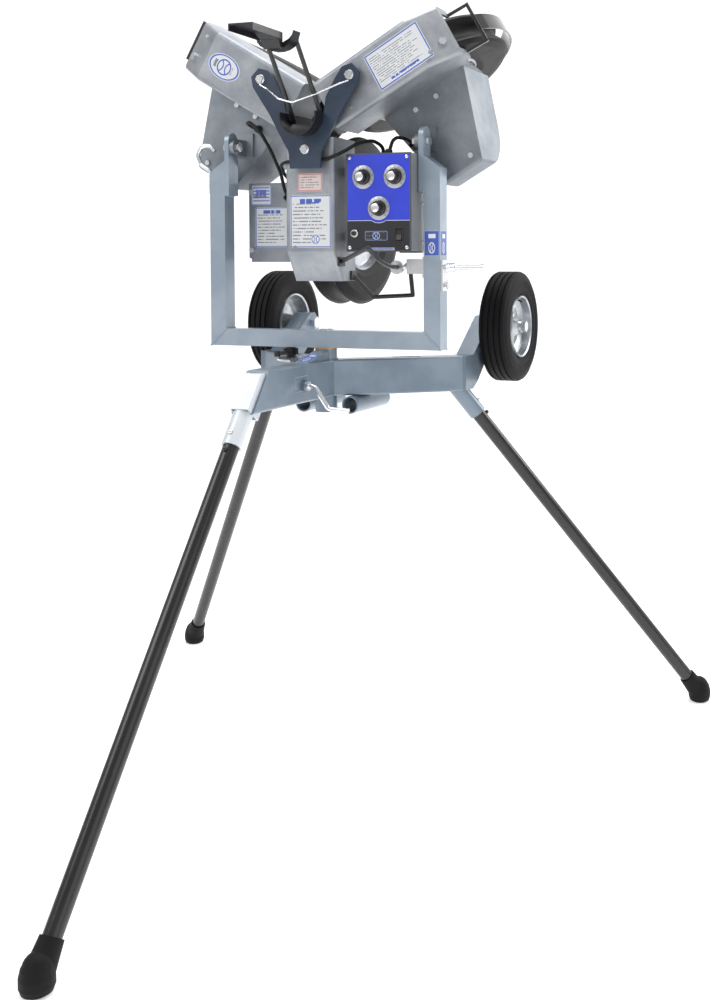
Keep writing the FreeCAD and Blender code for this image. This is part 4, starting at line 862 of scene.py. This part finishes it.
# %% Welds of the yoke and the base
STRUT_JOINT_X, STRUT_JOINT_Y = 237 * MM, 346 * MM      # where a strut meets its front arm
tube = 38 * MM
yoke_seams = []
for side in (-1, 1):
    outer, inner = side * yoke_high.x, side * (yoke_high.x - tube)
    for y in (yoke_low.y, yoke_high.y):
        yoke_seams.append([(outer, y, yoke_low.z), (inner, y, yoke_low.z + tube)])
    yoke_seams.append([(inner, yoke_low.y, yoke_low.z + tube), (inner, yoke_high.y, yoke_low.z + tube)])
    ear_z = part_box("yoke_ears")[0].z
    yoke_seams.append([(inner, yoke_low.y, ear_z), (inner, yoke_high.y, ear_z)])
grown("yoke_welds", bead_tree, seams(yoke_seams), {"Radius": 2.6 * MM, "Step": 2.3 * MM, "Seed": 5},
      enamel, "yoke")
post_radius = 24 * MM
swivel_y = (yoke_low.y + yoke_high.y) / 2
arm_top = gusset_low.z
base_seams = [[(post_radius * math.cos(t), swivel_y + post_radius * math.sin(t), arm_top)
               for t in (math.radians(a) for a in range(-30, 211, 8))]]
for name in ("right", "left"):
    joint_x = STRUT_JOINT_X if name == "right" else -STRUT_JOINT_X
    base_seams.append([(joint_x, STRUT_JOINT_Y, z * MM) for z in range(802, 877, 6)])
sleeve_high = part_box("storage_sleeves")[1]
for side in (-1, 1):
    x = side * (sleeve_high.x - 19.5 * MM)
    base_seams.append([(x - side * 19 * MM, y * MM, sleeve_high.z) for y in range(215, 331, 6)])
# The base welds take the darker enamel copy: painted shade.
grown("base_welds", bead_tree, seams(base_seams), {"Radius": 2.4 * MM, "Step": 2.2 * MM, "Seed": 8},
      base_enamel_painted_shade, "base")
print("weld seams:", len(yoke_seams) + len(base_seams))


# %% [markdown]
# ## Cart wheels
# Each transport wheel has five bolts round its hub, a valve stem and thin ribs on the side of its tyre.

# %% Hub bolts, valve stems and side ribs
bolt_head = stamp("bolt_head", [(0, -1 * MM), (4.6 * MM, -1 * MM), (4.6 * MM, 3.6 * MM),
                                (3.8 * MM, 4.4 * MM),
                                (0, 4.4 * MM)], steps=6)
for name, side in (("right", 1), ("left", -1)):
    body = "cart_wheel_" + name
    low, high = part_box("transport_rim_" + name)
    middle = (low + high) / 2
    away = Vector((side, 0, 0))
    web_x = middle.x + side * 7 * MM
    ring = []
    for i in range(5):
        a = math.radians(72 * i + 20)
        ring.append((Vector((web_x, middle.y + 38 * MM * math.cos(a), middle.z + 38 * MM * math.sin(a))),
                     away))
    grown("hub_bolts_" + name, fastener_tree, spots(ring), {"Shape": bolt_head, "Size": 1.25, "Seed": 2},
          zinc, body)
    stem = [(0, 0), (3.2 * MM, 0), (3.0 * MM, 6 * MM), (2.2 * MM, 8 * MM), (2.2 * MM, 15 * MM),
            (2.6 * MM, 15.5 * MM),
            (2.6 * MM, 20 * MM), (2.0 * MM, 21 * MM), (0, 21 * MM)]
    foot_of_stem = Vector((middle.x + side * 14 * MM, middle.y, middle.z + 66 * MM))
    settle("valve_stem_" + name, lathe("valve_stem", stem, foot_of_stem, away - Vector((0, 0, 0.35)), 20),
           part_black, body)
    tyre_low, tyre_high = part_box("transport_tyre_" + name)
    face_x = tyre_high.x if side > 0 else tyre_low.x
    bm = bmesh.new()
    for radius in (98, 106):
        outline = [((radius - 1.2) * MM, -1 * MM), ((radius - 0.8) * MM, 0.7 * MM),
                   ((radius + 0.8) * MM, 0.7 * MM),
                   ((radius + 1.2) * MM, -1 * MM), ((radius - 1.2) * MM, -1 * MM)]
        turned(bm, outline, (face_x - side * (1.6 if radius < 100 else 0.6) * MM, middle.y, middle.z),
               away, 96)
    settle("tyre_ribs_" + name, mesh_of(bm, "tyre_ribs"), cart_rubber, body)
print("cart wheels dressed")


# %% [markdown]
# ## Washers, glands and bezels
# Every throat-plate bolt sits on a plain washer, each conduit enters its cover through a ribbed gland,
# the rocker stands in a moulded bezel and the breaker button in a plated collar.

# %% Washers under the plate bolts
plate_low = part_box("throat_plate")[0]
ball_z = trough_top - 6 * MM
plate_spots = [(Vector((x * MM, plate_low.y, ball_z + dz * MM)), Vector((0, -1, 0)))
               for x, dz in ((105, 82), (-105, 82), (0, -70))]
grown("plate_washers", fastener_tree, spots(plate_spots), {"Shape": washer, "Size": 1.05}, zinc, "head")

# %% Cable glands
gland = stamp("gland", [(4.0 * MM, 0), (9 * MM, 0), (9 * MM, 4 * MM), (7.6 * MM, 4.6 * MM),
                        (7.6 * MM, 6 * MM),
                        (8.2 * MM, 6.4 * MM), (7.2 * MM, 9 * MM), (6.6 * MM, 12 * MM), (4.0 * MM, 12.6 * MM),
                        (4.0 * MM, 0)], 20)
ends = [Vector((-190, 1392, 0)), Vector((-116, 1236, 0)), Vector((-92, 1258, 0)), Vector((192, 1345, 0))]
gland_spots = [(Vector((e.x * MM, cover_face, e.y * MM)), Vector((0, -1, 0))) for e in ends]
gland_spots.append((Vector((138 * MM, box_low.y + 64 * MM, box_high.z)), Vector((0, 0, 1))))
gland_spots.append((Vector((162 * MM, box_low.y + 34 * MM, box_high.z)), Vector((0, 0, 1))))
grown("cable_glands", fastener_tree, spots(gland_spots), {"Shape": gland, "Size": 1.0}, part_black, "head")


# %% Bezels of the rocker and the breaker
def frame_round(name, middle, wide, tall, rim, deep, finish):
    """Rectangular moulded frame round an opening, facing -Y."""
    bm = bmesh.new()
    rings = []
    for grow, lift in ((rim, 0), (rim, -deep * 0.6), (rim * 0.7, -deep), (0, -deep), (0, 0)):
        rings.append([bm.verts.new(middle + Vector((sx * (wide / 2 + grow), lift, sz * (tall / 2 + grow))))
                      for sx, sz in ((1, 1), (-1, 1), (-1, -1), (1, -1))])
    for one, two in zip(rings, rings[1:] + rings[:1]):
        for i in range(4):
            bm.faces.new([one[i], one[(i + 1) % 4], two[(i + 1) % 4], two[i]])
    mesh = mesh_of(bm, name)
    return settle(name, mesh, finish, "head", smooth=False)


rocker_low, rocker_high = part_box("rocker_switch")
frame_round("rocker_bezel", Vector(((rocker_low.x + rocker_high.x) / 2, panel_face,
                                    (rocker_low.z + rocker_high.z) / 2)),
            14.2 * MM, 25.6 * MM, 2.4 * MM, 1.6 * MM, part_black)
breaker_low, breaker_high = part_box("breaker_button")
breaker_middle = Vector(((breaker_low.x + breaker_high.x) / 2, panel_face,
                         (breaker_low.z + breaker_high.z) / 2))
collar = [(4.8 * MM, 0), (8.5 * MM, 0), (8.5 * MM, 1.6 * MM), (7.6 * MM, 2.6 * MM), (5.0 * MM, 2.6 * MM),
          (4.8 * MM, 0)]
settle("breaker_collar", lathe("breaker_collar", collar, breaker_middle, (0, -1, 0), 32), zinc, "head")
print("washers, glands and bezels set")


# %% [markdown]
# ## Trim of the tubes and castings
# The rear arm carries an outline stamped in its side, and the castings show raised gate marks where metal
# was poured.

# %% Stamped outline and gate marks
arm_side_x = 25 * MM
stamped = []
for dx, dz in ((0, 0), (54, 0), (54, 30), (0, 30), (0, 0)):
    stamped.append((arm_side_x, (-6 + dx) * MM, (824 + dz) * MM))
grown("stamped_outline", bead_tree, seams([stamped]), {"Radius": 0.9 * MM, "Step": 0.7 * MM,
                                                       "Unevenness": 0.05},
      enamel, "base")
gate = stamp("gate_mark", [(0, -0.5 * MM), (7 * MM, -0.5 * MM), (6.4 * MM, 0.5 * MM), (5 * MM, 1.0 * MM),
                           (0, 0.8 * MM)], 20)
gate_spots = []
for arm in ARMS:
    for out in (95, 305 if arm != "lower" else 278):
        gate_spots.append((arm_point(arm, -34 * MM, out * MM, rear_face), Vector((0, -1, 0))))
grown("gate_marks", fastener_tree, spots(gate_spots), {"Shape": gate, "Size": 0.8}, casting, "head")
for shape_object in (pan_head, washer, bolt_head, gland, gate):
    bpy.data.objects.remove(shape_object)


# %% [markdown]
# ## Floor, light and camera
# The machine stands on a pale floor under four soft lights. The camera looks slightly down from the
# operator's right, at the height of a standing person's chest.

# %% Floor
def studio_floor():
    f = Finish("pale_floor", Emission_Strength=0.42)
    f.shader.inputs["Roughness"].default_value = 0.85
    f.shader.inputs["Emission Color"].default_value = (1, 1, 1, 1)
    return f.finish(Base_Color=f.mix(f.noise(1.5, 4), (0.86, 0.86, 0.86), (0.90, 0.90, 0.90)))


bm = bmesh.new()
profile = [(-9.0, 0.0), (3.5, 0.0), (4.3, 0.1), (5.0, 0.45), (5.5, 1.1), (5.7, 2.0), (5.7, 8.0)]
rows = [[bm.verts.new((x, y, z)) for x in (-14.0, 14.0)] for y, z in profile]
for one, two in zip(rows, rows[1:]):
    bm.faces.new([one[0], one[1], two[1], two[0]])
floor_mesh = bpy.data.meshes.new("floor")
bm.to_mesh(floor_mesh)
bm.free()
floor_mesh.materials.append(studio_floor())
for face in floor_mesh.polygons:
    face.use_smooth = True
floor = bpy.data.objects.new("floor", floor_mesh)
bpy.context.scene.collection.objects.link(floor)


# %% Soft lights and the room's glow
def soft_light(name, place, target, width, power):
    light = bpy.data.lights.new(name, "AREA")
    light.energy, light.size = power, width
    lamp = bpy.data.objects.new(name, light)
    lamp.location = place
    lamp.rotation_euler = (Vector(target) - Vector(place)).to_track_quat("-Z", "Y").to_euler()
    bpy.context.scene.collection.objects.link(lamp)


chest = (0, 0, 1.0)
soft_light("key", (-2.2, -2.4, 3.6), chest, 2.4, 70)
soft_light("fill", (3.4, -1.8, 1.8), chest, 2.8, 22)
soft_light("top", (0.2, 0.4, 3.9), chest, 2.8, 110)
soft_light("rim", (2.6, 2.6, 2.4), chest, 1.8, 45)
world = bpy.data.worlds.new("room")
bpy.context.scene.world = world
world.use_nodes = True
world.node_tree.nodes["Background"].inputs["Color"].default_value = (1, 1, 1, 1)
world.node_tree.nodes["Background"].inputs["Strength"].default_value = 0.5
bpy.context.scene.view_settings.view_transform = "Standard"

# %% Camera
eye = Vector((1.2534, -2.1872, 1.0984))
yaw, pitch = math.radians(18.11), math.radians(2.11)
ahead = Vector((-math.sin(yaw) * math.cos(pitch), math.cos(yaw) * math.cos(pitch), -math.sin(pitch)))
camera = bpy.data.objects.new("camera", bpy.data.cameras.new("camera"))
camera.data.lens, camera.data.sensor_width = 43.24, 36.0
camera.data.shift_x, camera.data.shift_y = -0.172, -0.197
camera.location = eye
camera.rotation_euler = ahead.to_track_quat("-Z", "Y").to_euler()
camera.data.clip_end = 60
bpy.context.scene.collection.objects.link(camera)
bpy.context.scene.camera = camera
